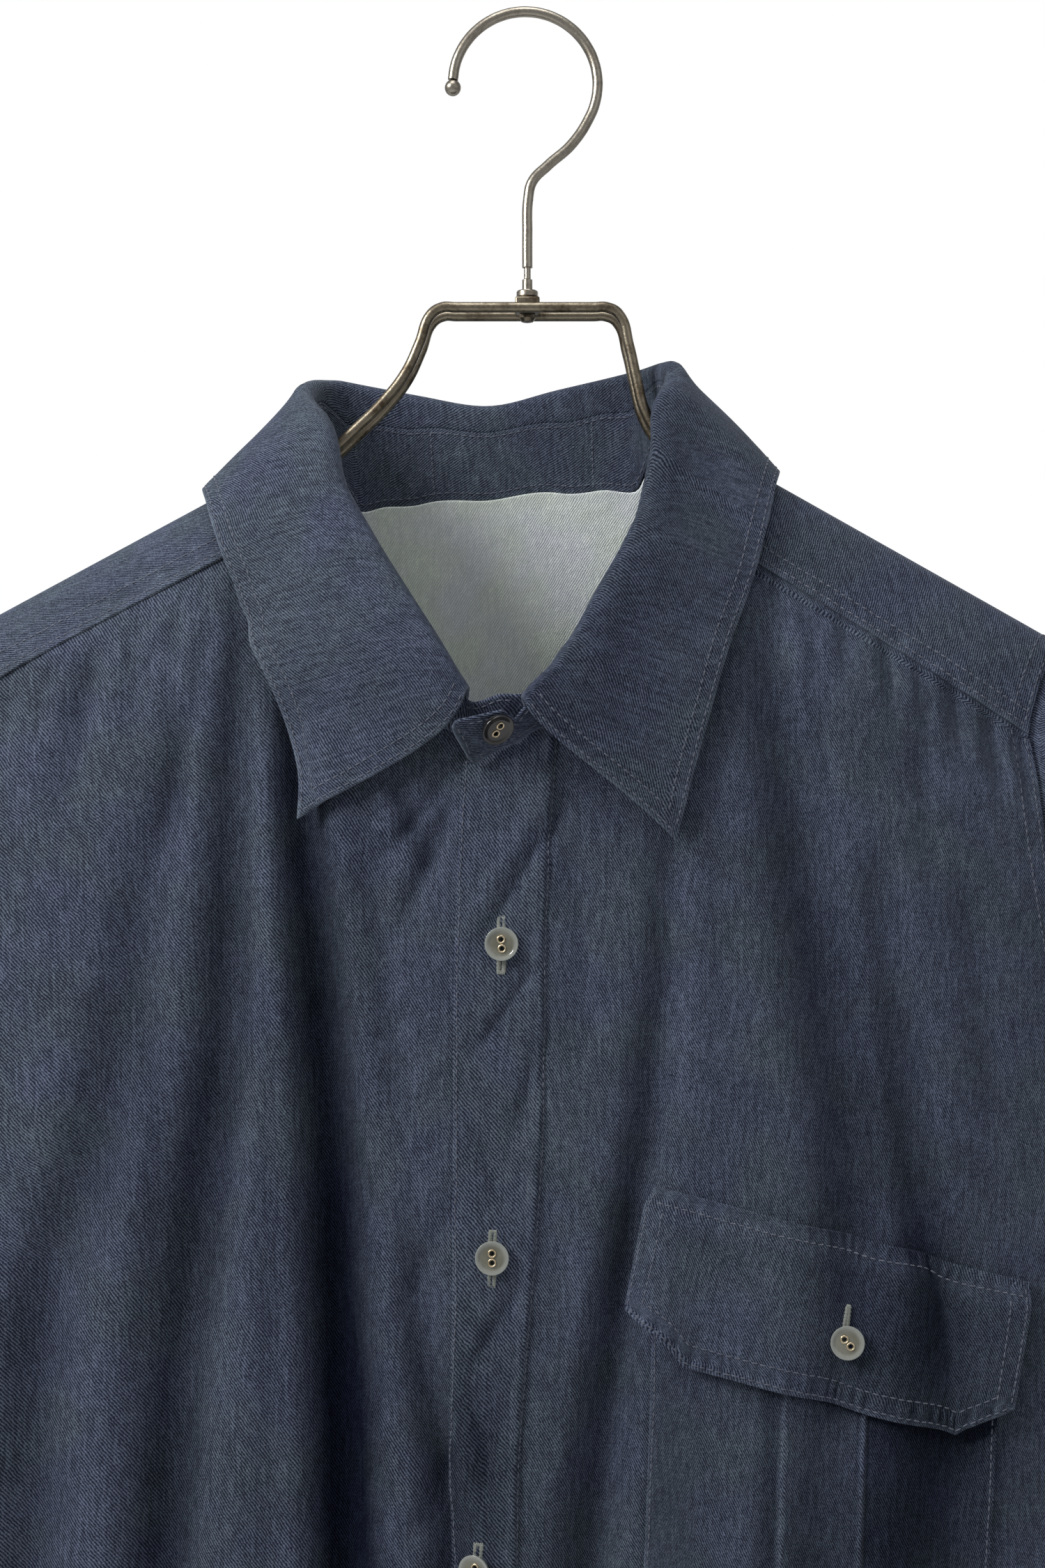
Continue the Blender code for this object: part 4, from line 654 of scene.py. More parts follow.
def spreadGroup():
    # turns a value into a mask between two limits
    group, given, out = newGroup(
        "spread", {"Value": "Float", "Low": "Float", "High": "Float"}, {"Mask": "Float"})
    inputs = {"Value": given["Value"], "From Min": given["Low"], "From Max": given["High"]}
    mask = node(group, "ShaderNodeMapRange", inputs, interpolation_type="SMOOTHSTEP").outputs[0]
    setInputs(group, out, {"Mask": mask})
    return group


def masked(tree, value, low, high):
    return placed(tree, spread, {"Value": value, "Low": low, "High": high})["Mask"]


def newMaterial(name, **constants):
    made = bpy.data.materials.new(name)
    made.use_nodes = True
    shader = made.node_tree.nodes["Principled BSDF"]
    for key, value in constants.items():
        shader.inputs[key.replace("_", " ")].default_value = value
    return made, made.node_tree, shader


twill, spread = twillGroup(), spreadGroup()
# colours of each side: deep and pale yarn, worn for rubbed places, and shade, multiplied in as painted shade
clothLooks = {
    "outside": {"deep": (0.0058, 0.0080, 0.0190, 1), "pale": (0.140, 0.173, 0.232, 1),
                "worn": (0.190, 0.230, 0.280, 1), "shade": (0.06, 0.07, 0.12, 1)},
    "inside": {"deep": (0.450, 0.490, 0.490, 1), "pale": (0.860, 0.905, 0.840, 1),
               "worn": (0.88, 0.90, 0.85, 1), "shade": (0.80, 0.82, 0.84, 1)},
    "sheenTint": (0.74, 0.82, 1.0, 1),
    "tints": ((0.99, 1.01, 0.94, 1), (1.01, 0.98, 1.05, 1)),
    "ridgeSpacing": 0.00081,
    # how much pale yarn shows, from a start and what each pattern adds
    "paleStart": -1.505,
    "paleShares": {"Ridge": 0.64, "Yarn": 0.75, "Fleck": 1.32, "wash": 0.30, "mottle": 0.50},
    "wornMost": 0.62,
    "shadeMost": 0.95,
    "sheen": 0.10,
}


def clothMaterial(name, look, angle):
    colours = clothLooks[look]
    made, tree, shader = newMaterial(name, Sheen_Roughness=0.42, Sheen_Tint=clothLooks["sheenTint"])
    turn = math.radians(angle)
    weave = placed(tree, twill, {
        "Cut": node(tree, "ShaderNodeUVMap", uv_map="cut").outputs[0],
        "Across": (math.cos(turn), math.sin(turn), 0.0),
        "Ridge Spacing": clothLooks["ridgeSpacing"],
    })
    wearAndShade, place = attributeOf(tree, "wearAndShade"), objectPlace(tree)
    seen = {key: weave[key] for key in ("Ridge", "Yarn", "Fleck")}
    seen["wash"] = noiseAt(tree, place, 26.0, 4.0, 0.62)
    seen["mottle"] = noiseAt(tree, place, 420.0, 2.0, 0.6)
    share = clothLooks["paleStart"]
    for key, weight in clothLooks["paleShares"].items():
        share = scaled(tree, seen[key], weight, share)
    share = maths(tree, "MINIMUM", maths(tree, "MAXIMUM", share, 0.0), 1.0)
    colour = blendColour(tree, share, colours["deep"], colours["pale"])
    tone = masked(tree, noiseAt(tree, place, 34.0, 2.0, 0.5), 0.36, 0.64)
    colour = blendColour(tree, 1.0, colour, blendColour(tree, tone, *clothLooks["tints"]), "MULTIPLY")
    # where the mask is above 0.54 the cloth is worn and pale; below 0.48 it gets painted shade, which darkens
    # the colour and dims the sheen and the specular
    worn = maths(tree, "MULTIPLY", masked(tree, wearAndShade, 0.54, 1.0), scaled(tree, weave["Fleck"], 1.0, 0.10))
    colour = blendColour(tree, maths(tree, "MULTIPLY", worn, clothLooks["wornMost"]), colour, colours["worn"])
    shaded = node(tree, "ShaderNodeMapRange", {"Value": wearAndShade, "From Min": 0.48, "From Max": 0.0}).outputs[0]
    darkened = maths(tree, "MULTIPLY", shaded, clothLooks["shadeMost"])
    coarse = bumpOf(tree, 0.45, 0.0012, noiseAt(tree, place, 120.0, 3.0, 0.55))
    setInputs(tree, shader, {
        "Base Color": blendColour(tree, darkened, colour, colours["shade"], "MULTIPLY"),
        "Sheen Weight": scaled(tree, shaded, -clothLooks["sheen"], clothLooks["sheen"]),
        "Specular IOR Level": scaled(tree, shaded, -0.15, 0.18),
        "Roughness": scaled(tree, weave["Yarn"], 0.2, 0.74),
        "Normal": bumpOf(tree, 0.6, 0.00022, weave["Height"], Normal=coarse),
    })
    return made


def threadMaterial(name, dark, light):
    made, tree, shader = newMaterial(name, Roughness=0.7, Sheen_Weight=0.3, Sheen_Roughness=0.4)
    place = objectPlace(tree)
    ply = noiseAt(tree, place, 900.0, 2.0, 0.7)
    share = scaled(tree, noiseAt(tree, place, 60.0, 2.0, 0.5), 0.8, scaled(tree, ply, 0.9, -0.35))
    setInputs(tree, shader, {
        "Base Color": blendColour(tree, share, dark, light),
        "Normal": bumpOf(tree, 0.5, 0.0001, ply),
    })
    return made


def metalMaterial(name, brown, bright, brightShare):
    made, tree, shader = newMaterial(name, Metallic=1.0)
    place = objectPlace(tree)
    patches, pits = noiseAt(tree, place, 95.0, 5.0, 0.68), noiseAt(tree, place, 900.0, 3.0, 0.7)
    value = scaled(tree, pits, 0.25, maths(tree, "ADD", patches, brightShare - 0.62))
    mask = masked(tree, value, 0.30, 0.62)
    setInputs(tree, shader, {
        "Base Color": blendColour(tree, mask, brown, bright),
        "Roughness": scaled(tree, mask, -0.16, scaled(tree, pits, 0.25, 0.34)),
        "Normal": bumpOf(tree, 0.35, 0.00025, pits),
    })
    return made


def shellMaterial(name, dark, light, edge, coat):
    made, tree, shader = newMaterial(name, Coat_Weight=coat, Coat_Roughness=0.10, Subsurface_Weight=0.12,
                                     Subsurface_Radius=(0.002, 0.002, 0.0015), Subsurface_Scale=0.5)
    cloud = noiseAt(tree, objectPlace(tree), 120.0, 2.0, 0.45, 0.5)
    # the paler rim is partly the shell's own tone and partly a painted pearly reflection
    rim = masked(tree, attributeOf(tree, "rim"), 0.55, 1.0)
    middle = blendColour(tree, masked(tree, cloud, 0.32, 0.68), dark, light)
    setInputs(tree, shader, {
        "Base Color": blendColour(tree, rim, middle, edge),
        "Roughness": scaled(tree, cloud, 0.20, 0.10),
        "Normal": bumpOf(tree, 0.08, 0.0002, cloud),
    })
    return made


# the ridges of the twill lean differently on each piece, as the pieces were cut
outsideFront = clothMaterial("twill fronts", "outside", 32)
outsideFlap = clothMaterial("twill flap", "outside", 40)
outsideBack = clothMaterial("twill back and sleeves", "outside", -30)
outsideCollar = clothMaterial("twill collar", "outside", 57.5)
insideCollar = clothMaterial("twill inside the collar", "outside", 57)
insideCloth = clothMaterial("twill wrong side", "inside", -30)
threadBlue = threadMaterial("grey-blue thread", (0.024, 0.029, 0.048, 1), (0.105, 0.118, 0.158, 1))
threadPale = threadMaterial("pale thread", (0.105, 0.116, 0.104, 1), (0.235, 0.248, 0.218, 1))
agedBrass = metalMaterial("aged brass", (0.070, 0.052, 0.034, 1), (0.250, 0.215, 0.160, 1), 0.52)
wornNickel = metalMaterial("worn nickel", (0.110, 0.085, 0.058, 1), (0.330, 0.300, 0.250, 1), 0.60)
eyeletBrass = metalMaterial("eyelet brass", (0.300, 0.200, 0.095, 1), (0.680, 0.560, 0.380, 1), 0.60)
# the grey shell's rim colour carries a painted pearly reflection along with its own tone
greyShell = shellMaterial(
    "grey shell", (0.085, 0.082, 0.058, 1), (0.150, 0.148, 0.118, 1), (0.215, 0.228, 0.210, 1), 0.60)
darkShell = shellMaterial(
    "dark shell", (0.004, 0.003, 0.0025, 1), (0.016, 0.011, 0.008, 1), (0.008, 0.006, 0.005, 1), 0.4)
print("made the materials")

# the collar, by stations round the neck:
# t, face, neck x and z, roll x, y and z, stand, roll radius, edge x and z
collar = {
    "stations": [(where, face, *metres(lengths)) for where, face, *lengths in [
        (0.00, 1, -19.5, -269.5, -19.2, -47.5, -252.5, 13.5, 1.8, -79, -295.1),
        (0.07, 1, -40, -257.5, -28.6, -45, -235.8, 16.5, 2.6, -86.8, -265.4),
        (0.15, 1, -62, -236.5, -41.4, -40, -215.7, 21, 3.2, -93.6, -240),
        (0.23, 1, -77.5, -211, -54.6, -32.5, -195, 19.5, 3.6, -101.3, -218.4),
        (0.31, 1, -83, -187.4, -66.8, -24, -173.5, 15, 3.6, -109.1, -199.1),
        (0.335, 1, -82.8, -169, -73.8, -13.5, -157, 13.5, 3.6, -113.5, -186),
        (0.36, 0, -80.5, -159.6, -79, 2, -137.5, 15, 3.8, -116, -178.7),
        (0.42, -1, -65.5, -177.5, -72.6, 23, -130.2, 31.5, 3.8, -95, -190),
        (0.44, -1, -53, -176.8, -58.4, 28.7, -131.5, 30, 3.8, -73.8, -189.1),
        (0.46, -1, -40, -175.7, -43.6, 33, -133.4, 28, 3.8, -52, -188),
        (0.50, -1, -14, -174.2, -15, 36, -137, 25.5, 3.8, -13, -187),
        (0.54, -1, 13, -171.6, 11.9, 33, -131.5, 26.2, 3.8, 22, -184),
        (0.56, -1, 28.5, -170.5, 27.2, 29.5, -128.7, 27.8, 3.8, 44, -183.8),
        (0.58, -1, 43, -169.8, 41, 24.5, -126.4, 29, 3.8, 66, -184),
        (0.64, 0, 51.5, -150.3, 50.7, 2, -129, 14.5, 3.8, 89.4, -171.5),
        (0.665, 1, 56, -161, 48.7, -12.5, -148, 13.5, 3.6, 87.5, -179.5),
        (0.69, 1, 59, -188.7, 44.5, -23, -168, 16, 3.6, 83.9, -194.7),
        (0.77, 1, 56, -212, 36.5, -32, -194.8, 19.5, 3.6, 77.1, -215.7),
        (0.85, 1, 42, -236, 24.5, -37.5, -218, 20, 3.2, 69, -240),
        (0.93, 1, 22, -255.5, 10, -44, -238, 15, 2.6, 60, -272),
        (1.00, 1, -3, -267.5, -4.7, -48, -255.3, 8.6, 2.4, 51.9, -302.2),
    ]],
    "cloth": 0.0016,
    "neckGap": 0.0013,
    "fallGap": 0.0010,
    "fallInset": 0.012,
    "leafBow": {-1: 0.0016, 1: -0.0028},
    "seamLap": 0.0017,
    "lift": 0.0042,
    "middleX": -0.0145,
    "rollSteps": range(15, 151, 15),  # degrees
}
standColumns = np.concatenate(
    [np.linspace(-0.088, 0, 17), np.linspace(0, 1, 170)[1:], np.linspace(1, 1.11, 26)[1:]])
collarRows = np.array(collar["stations"])


def collarColumns(t, *columns):
    return along(np.concatenate([collarRows[:, :1], collarRows[:, list(columns)]], axis=1), t)


def turnedTable(xColumn, zColumn):
    turns = turnOf(collarRows[:, xColumn], collarRows[:, zColumn], collarRows[:, 1])
    return np.stack([collarRows[:, 0], collarRows[:, xColumn], turns], axis=1)


def neckTurn(t):
    return np.moveaxis(along(turnedTable(2, 3), t), -1, 0)


def neckPoint(t):
    return aroundShoulder(*neckTurn(t))


def collarEdge(t, lift):
    x, turn = np.moveaxis(along(turnedTable(9, 10), t), -1, 0)
    place = aroundShoulder(x, turn)
    return place + np.where((turn > 0)[..., None], awayFromBody(place, 1), awayFromBody(place, -1)) * lift


def standFoot(t):
    # foot of the stand, its direction up, the direction away from the neck, its height and the roll's point;
    # t below 0 is the end that lies under, above 1 the end that laps over
    t = np.asarray(t, float)
    inside = np.clip(t, 0, 1)
    under, over = np.maximum(-t, 0), np.maximum(t - 1, 0)
    neck = neckPoint(inside)
    roll = collarColumns(inside, 4, 5, 6)
    tangent = neckPoint(np.minimum(inside + 0.01, 1)) - neckPoint(np.maximum(inside - 0.01, 0))
    up = roll - neck
    away = unit(np.cross(tangent, up))
    outwards = neck - points(collar["middleX"], 0.0, neck[..., 2])
    away = away * np.where(np.sum(away * outwards, axis=-1, keepdims=True) < 0, -1, 1)
    up, tangent = unit(up), unit(tangent)
    stand = collarColumns(inside, 7)[..., 0] + 0.0030 * ease((0.010 - t) / 0.010) + 0.0035 * ease(under / 0.05)
    stand = stand + 0.0050 * ease(over / 0.02) + 0.045 * over
    forward = 0.0012 * ease((0.05 - t) / 0.05) - 0.0034 * ease((t - 0.91) / 0.08) - 0.0012 * ease(over / 0.06)
    foot = neck + points(0.200 * under - 0.190 * over, forward, -0.006 * under - 0.080 * over)
    clear = unit(up - tangent * np.sum(up * tangent, axis=-1, keepdims=True))
    return foot + clear * collar["neckGap"], up, away, stand, roll


def wearAlong(grid, edges, amount, reach=0.0016, neutral=0.5):
    # pale along the edges named, uneven, and neutral elsewhere
    wearAndShade = np.full(grid.shape[:2], neutral)
    uneven = 0.75 + 0.25 * np.sin(grid[..., 0] * 310 + grid[..., 2] * 270)
    for edge in edges:
        distance = lengthsAlong(fromEdge(grid, edge), 0)
        if edge in ("bottom", "right"):
            distance = distance[::-1]
        if edge in ("left", "right"):
            distance = distance.T
        wearAndShade = np.maximum(wearAndShade, neutral + amount * uneven * np.exp(-(distance / reach) ** 2))
    return wearAndShade


def collarStand():
    t = standColumns
    foot, up, away, stand, _ = standFoot(t)
    ending = np.clip((t - 1.096) / 0.0145, 0, 1)  # the outer end has small round corners
    trim = 0.19 * (1 - np.sqrt(1 - ending ** 2))
    lap = collar["seamLap"] * (1 - ending)  # the foot laps over the seam
    share = np.linspace(0, 1, 16)[:, None]
    rise = stand * (trim + (1 - 2 * trim) * share) - lap * (1 - share) ** 2
    middle = foot + up * rise[..., None] + points(0.0042 * (1 - share) ** 1.5 * ease((t - 1.04) / 0.07), 0, 0)
    bulge = 0.0006 * np.sin(math.pi * share) * np.sin(t * 37) ** 2
    middle = middle + away * bulge[..., None]
    wearAndShade = wearAlong(middle, ("right", "top"), 0.3)
    return makeCloth("collar_stand_piece", "collar_stand", middle, facing(middle, away[None]), collar["cloth"],
                     flatPlaces(middle), wearAndShade, (outsideCollar, insideCollar))


def collarFall():
    inset = collar["fallInset"]
    t = np.linspace(0, 1, 190)
    t = t[(t > inset + 0.004) & (t < 1 - inset - 0.004)]
    t = np.concatenate([[inset, inset + 0.003], t, [1 - inset - 0.003, 1 - inset]])
    foot, up, away, stand, roll = standFoot(t)
    radius = collarColumns(t, 8)[..., 0]
    tall = np.sum((roll - foot) * up, axis=-1)
    base = foot + up * np.maximum(tall - radius, stand + collar["fallGap"] * 2.5)[:, None]
    root = foot + up * (stand - 0.0004)[:, None]
    rows = [root + (base - root) * part for part in (0, 0.33, 0.67, 1)]
    for turn in map(math.radians, collar["rollSteps"]):
        out, rise = radius * (1 - math.cos(turn)), radius * math.sin(turn)
        rows.append(base + away * out[:, None] + up * rise[:, None])
    # from the end of the roll, each leaf falls on a curve through two handles to the collar's edge
    start = rows[-1]
    tipLift = collar["lift"] + 0.0042 * np.exp(-((t - inset) / 0.040) ** 2)[:, None]
    edge = collarEdge(0.5 + (t - 0.5) / (1 - 2 * inset), tipLift)
    reach = np.linalg.norm(edge - start, axis=-1, keepdims=True)
    handle = start + (away * math.sin(turn) + up * math.cos(turn)) * reach * 0.22
    approach = edge * 0.60 + start * 0.40 + points(0, np.where(edge[:, 1] < 0, -0.003, 0.003), 0)
    bow = ease(1 - np.minimum(t, 1 - t) / 0.05) * np.where(t < 0.5, collar["leafBow"][-1], collar["leafBow"][1])
    for part in np.linspace(0, 1, 37)[1:]:
        rest = 1 - part
        place = (start * rest ** 3 + handle * 3 * part * rest ** 2
                 + approach * 3 * part ** 2 * rest + edge * part ** 3)
        place[:, 2] -= bow * 4 * part * rest
        if part > 0.15:
            place = cleared(place, collar["lift"] * ease(part / 0.45))
        rows.append(place)
    middle = np.array(rows)
    hint = np.zeros_like(middle)
    hint[len(rows) // 2:] = away
    normals = facing(middle, hint)
    # soft waves over the leaves, and puckers between the two rows of stitches
    down = np.linspace(0, 1, len(rows))[:, None]
    wave = 0.0006 * np.sin(t * 41 + 1.0) * np.sin(down * 7 + t * 5) * ease((down - 0.3) / 0.2)
    pucker = 0.00022 * np.sin(t * 420 + 3 * np.sin(t * 31)) * np.exp(-((down - 0.955) / 0.035) ** 2)
    middle = middle + normals * (wave + pucker)[..., None]
    cut = flatPlaces(middle)
    cut[..., 1] += 0.70 * cut[..., 0] ** 2  # the weave's slant differs on the two leaves
    # painted shade on the left leaf near its roll, where it turns from the light
    turned = 0.24 * ease((t - 0.63) / 0.05) * np.exp(-((down - 0.42) / 0.28) ** 2)
    wearAndShade = wearAlong(middle, ("bottom", "left", "right"), 0.45, 0.0013) - turned
    return makeCloth("collar_fall_piece", "collar_fall", middle, normals, collar["cloth"], cut, wearAndShade,
                     (outsideCollar, outsideCollar))


# fronts, back and yoke
shirtBody = {
    "cloth": 0.0012,
    "seamGap": 0.0003,
    "placketEdges": metres([
        (270, -22.2, 10.5), (300, -24, 8.3), (340, -25.6, 6.8), (400, -26.1, 6), (440, -26.1, 3.6),
        (480, -26.2, 0.2), (520, -26.4, -2.8), (560, -26.8, -3.4), (660, -31, -4), (780, -35, -4.5),
        (930, -37, -5),
    ]),
    "frontColumns": {-1: (13, 7, 6, 9), 1: (9, 9, 5, 12)},
    "frontLines": {-1: ("rightDeep", "rightWide", "rightSoft"), 1: ("leftInner", "leftWide", "leftOuter")},
    "backColumns": (6, 5, 7, 5, 6),
    "backLines": ("rightSoft", "rightPleat", "leftPleat", "leftSoft"),
    "openingShift": 0.002,  # from the strip's middle to where the fronts meet
    "yokeT": {-1: (0.31, 0.36, 0.40), 1: (0.69, 0.64, 0.60)},
    "yokeColumns": (34, 26, 60, 26, 34),
    "columnsBetween": 4,
    "rows": 184,
}


def placketMiddle(z):
    return along(shirtBody["placketEdges"], -z).mean(axis=-1) + shirtBody["openingShift"]


def hemZ(x, face):
    share = np.minimum(np.abs(x - centreX(-body["length"])) / body["hemHalf"], 1)
    tail = 0 if face > 0 else body["backTail"]
    return -body["length"] - tail + (body["sideRise"] + tail) * ease((share - 0.15) / 0.85)


def sideX(z, side):
    return float(centreX(z) + side * halfWidth(np.array(z), side))


def armholeRows(side, face):
    rows = [(float(centreX(-drop)) + side * reach, -drop) for reach, drop in body["armholes"][face]]
    return [body["corners"][face][side]] + rows + [(sideX(-body["underarm"], side), -body["underarm"])]


def sideTable(side, face):
    rows = armholeRows(side, face)
    rows[0] = (rows[0][0], rows[0][1] - shirtBody["seamGap"])
    bottom = -float(hemZ(centreX(-0.9) + side * body["hemHalf"], 1))
    for step in range(1, 9):
        z = -(body["underarm"] + (bottom - body["underarm"]) * step / 8)
        rows.append((sideX(z, side), z))
    return [(index, x, z) for index, (x, z) in enumerate(rows)]


def lineOf(rows):  # x at each height, from rows of drop and x
    return lambda z: along(rows, -z)[..., 0]


def edgeLine(table):
    return lineOf([(-z, x) for _, x, z in table])


def columnsOf(counts):
    return np.arange(sum(counts) * shirtBody["columnsBetween"] + 1) / shirtBody["columnsBetween"]


def columnX(lines, counts, column, z):
    index = 0
    while index < len(counts) - 1 and column > counts[index]:
        column -= counts[index]
        index += 1
    low, high = lines[index](z), lines[index + 1](z)
    return low + (high - low) * column / counts[index]


def panelColumns(lines, counts, tops, sides, face, spreadOut):
    # each column follows the folds beside it; its rows' heights lean towards the side seam's
    last = sum(counts)
    grid = []
    for column, (topX, topZ) in zip(columnsOf(counts), tops):
        table = sides[1] if face > 0 or column * 2 > last else sides[0]
        lastRow = len(table) - 1
        marks = np.linspace(0, lastRow, shirtBody["rows"])
        seamX, seamZ = np.moveaxis(along(table, marks), -1, 0)
        if column in (0, last) and not (face > 0 and column == 0):
            grid.append(np.stack([seamX, seamZ], axis=1))
            continue
        startX = columnX(lines, counts, column, np.array(topZ))
        end = hemZ(columnX(lines, counts, column, np.array(-body["length"])), face)
        alongSide = (seamZ - seamZ[0]) / (seamZ[-1] - seamZ[0])
        even = (marks / lastRow) ** 1.15
        share = even + (alongSide - even) * spreadOut(column / last)
        z = topZ + (end - topZ) * share
        x = columnX(lines, counts, column, z) + (topX - startX) * (1 - share) ** 3
        grid.append(np.stack([x, z], axis=1))
    return np.swapaxes(np.array(grid), 0, 1)


def panelPiece(name, nodeName, flatGrid, face, outside):
    x, z = flatGrid[..., 0], flatGrid[..., 1]
    surface = onBody(x, z, face)
    normals = facing(surface, np.array([0.0, -face, 0.0]))
    middle = surface - normals * shirtBody["cloth"] / 2
    middle[..., 1] += -face * shirtBody["seamGap"] / 2
    # painted shade from the shade tables and in the creases' troughs; the creases' crests paler, as worn
    wearAndShade = np.clip(0.5 - shadeAt(x, z, face) - face * creaseShift(x, z, face) / 0.012, 0.0, 0.95)
    cut = panelPlaces(middle, 1.35 if face > 0 else 0.0)
    return makeCloth(name, nodeName, middle, normals, shirtBody["cloth"], cut, wearAndShade, (outside, insideCloth))


def frontPanel(side):
    counts = shirtBody["frontColumns"][side]
    gap = side * shirtBody["seamGap"] / 2
    table = sideTable(side, 1)
    lines = [lambda z: placketMiddle(z) + gap]
    lines += [lineOf(folds[name]) for name in shirtBody["frontLines"][side]] + [edgeLine(table)]
    cornerT, neckEnd = shirtBody["yokeT"][side][0], (0 if side < 0 else 1)
    firstX, firstZ = float(placketMiddle(np.array(-0.2715))) + gap, -0.2712
    neckX, _, neckZ = neckPoint(np.array(float(neckEnd)))
    start, end = neckPoint(np.array(cornerT)), body["corners"][1][side]
    tops = []  # along the neck, then along the yoke's seam
    for column in columnsOf(counts):
        if column < 1:
            tops.append((firstX + (neckX - firstX) * column, firstZ + (neckZ - firstZ) * column))
        elif column <= counts[0]:
            place = neckPoint(np.array(neckEnd + (cornerT - neckEnd) * (column - 1) / (counts[0] - 1)))
            tops.append((place[0], place[2]))
        else:
            z = np.array(start[2])
            for _ in range(6):
                x = columnX(lines, counts, column, z)
                z = start[2] + (end[1] - start[2]) * (x - start[0]) / (end[0] - start[0])
            tops.append((float(x), float(z) - shirtBody["seamGap"]))
    grid = panelColumns(lines, counts, tops, (table, table), 1, lambda share: share * share)
    name, nodeName = ("left_front", "front_left") if side > 0 else ("right_front", "front_right")
    return panelPiece(name, nodeName, grid, 1, outsideFront)


def backPanel():
    tables = sideTable(-1, -1), sideTable(1, -1)
    counts = shirtBody["backColumns"]
    pleats = [lineOf(backFolds[name]) for name in shirtBody["backLines"]]
    lines = [edgeLine(tables[0])] + pleats + [edgeLine(tables[1])]
    topZ = tables[0][0][2]
    tops = [(float(columnX(lines, counts, column, np.array(topZ))), topZ) for column in columnsOf(counts)]
    grid = panelColumns(lines, counts, tops, tables, -1, lambda share: abs(2 * share - 1) ** 3)
    return panelPiece("back_panel", "back", grid, -1, outsideBack)


def armholeTop(side, face, share):
    x, z = body["corners"][face][side]
    tip = body["shoulders"][side][2]
    return tip + (x - tip) * share, turnOf(x, z, face) * share


def yokeEdge(t):
    side = -1 if t < 0.5 else 1
    frontT, ridgeT, backT = shirtBody["yokeT"][side]
    if (t - backT) * side <= 0:
        (startT, endT), corners = (shirtBody["yokeT"][key][2] for key in (-1, 1)), body["corners"][-1]
        x = corners[-1][0] + (corners[1][0] - corners[-1][0]) * ((t - startT) / (endT - startT))
        return x, turnOf(x, corners[side][1], -1)
    if (t - ridgeT) * side < 0:
        return armholeTop(side, -1, (t - ridgeT) / (backT - ridgeT))
    return armholeTop(side, 1, (t - ridgeT) / (frontT - ridgeT))


def yokePiece():
    marks = [*shirtBody["yokeT"][-1], *shirtBody["yokeT"][1][::-1]]
    spans = zip(marks, marks[1:], shirtBody["yokeColumns"])
    t = np.concatenate([marks[:1]] + [np.linspace(low, high, count)[1:] for low, high, count in spans])
    neckX, neckBend = neckTurn(t)
    edges = np.array([yokeEdge(value) for value in t])
    part = np.linspace(0, 1, 90)[:, None]
    surface = aroundShoulder(neckX + (edges[:, 0] - neckX) * part, neckBend + (edges[:, 1] - neckBend) * part)
    lap = 0.0013  # the yoke's front edges are sewn over the fronts
    firstLap = surface[:, :1] + unit(surface[:, :1] - surface[:, 1:2]) * lap
    lastLap = surface[:, -1:] + unit(surface[:, -1:] - surface[:, -2:-1]) * lap
    surface = np.concatenate([firstLap, surface, lastLap], axis=1)
    normals = facing(surface, np.array([0.0, 0.0, 1.0]))
    reach = lengthsAlong(surface, 1)
    distance = np.minimum(reach, reach[:, -1:] - reach)
    pucker = 0.00030 * np.sin(part * 99.2 + 2 * np.sin(part * 14.4))
    pucker = pucker * np.exp(-((distance - 0.004) / 0.004) ** 2)
    lift = 0.0012 * np.exp(-(distance / 0.0035) ** 2) + pucker
    middle = surface + normals * (lift - shirtBody["cloth"] / 2)[..., None]
    place = np.concatenate([t[:1], t, t[-1:]])[None, :]
    turned = np.radians(72 * ease((0.366 - place) / 0.010) - 15 * ease((place - 0.634) / 0.010))
    upright = middle[..., 2] + 0.6 * middle[..., 1] * np.where(middle[..., 1] < 0, 1, -1)
    cut = np.stack([middle[..., 0] * np.cos(turned) - upright * np.sin(turned),
                    middle[..., 0] * np.sin(turned) + upright * np.cos(turned)], axis=-1)
    return makeCloth("shoulder_yoke", "yoke", middle, normals, shirtBody["cloth"], cut,
                     wearAlong(middle, ("left", "right"), 0.28), (outsideBack, insideCloth))


# what is sewn on the fronts; the strip's top is a bend, by x and z, between two slopes
placketStrip = {"gap": 0.0009, "topEnds": (-0.0222, 0.0105), "top": (-0.0030, -0.2668, 0.42, 0.48)}


def stripOnFront(name, nodeName, middle, wearAndShade, outside):
    normals = facing(middle, np.array([0.0, -1.0, 0.0]))
    return makeCloth(name, nodeName, middle, normals, shirtBody["cloth"], flatPlaces(middle),
                     np.clip(wearAndShade, 0.02, 1), (outside, insideCloth))


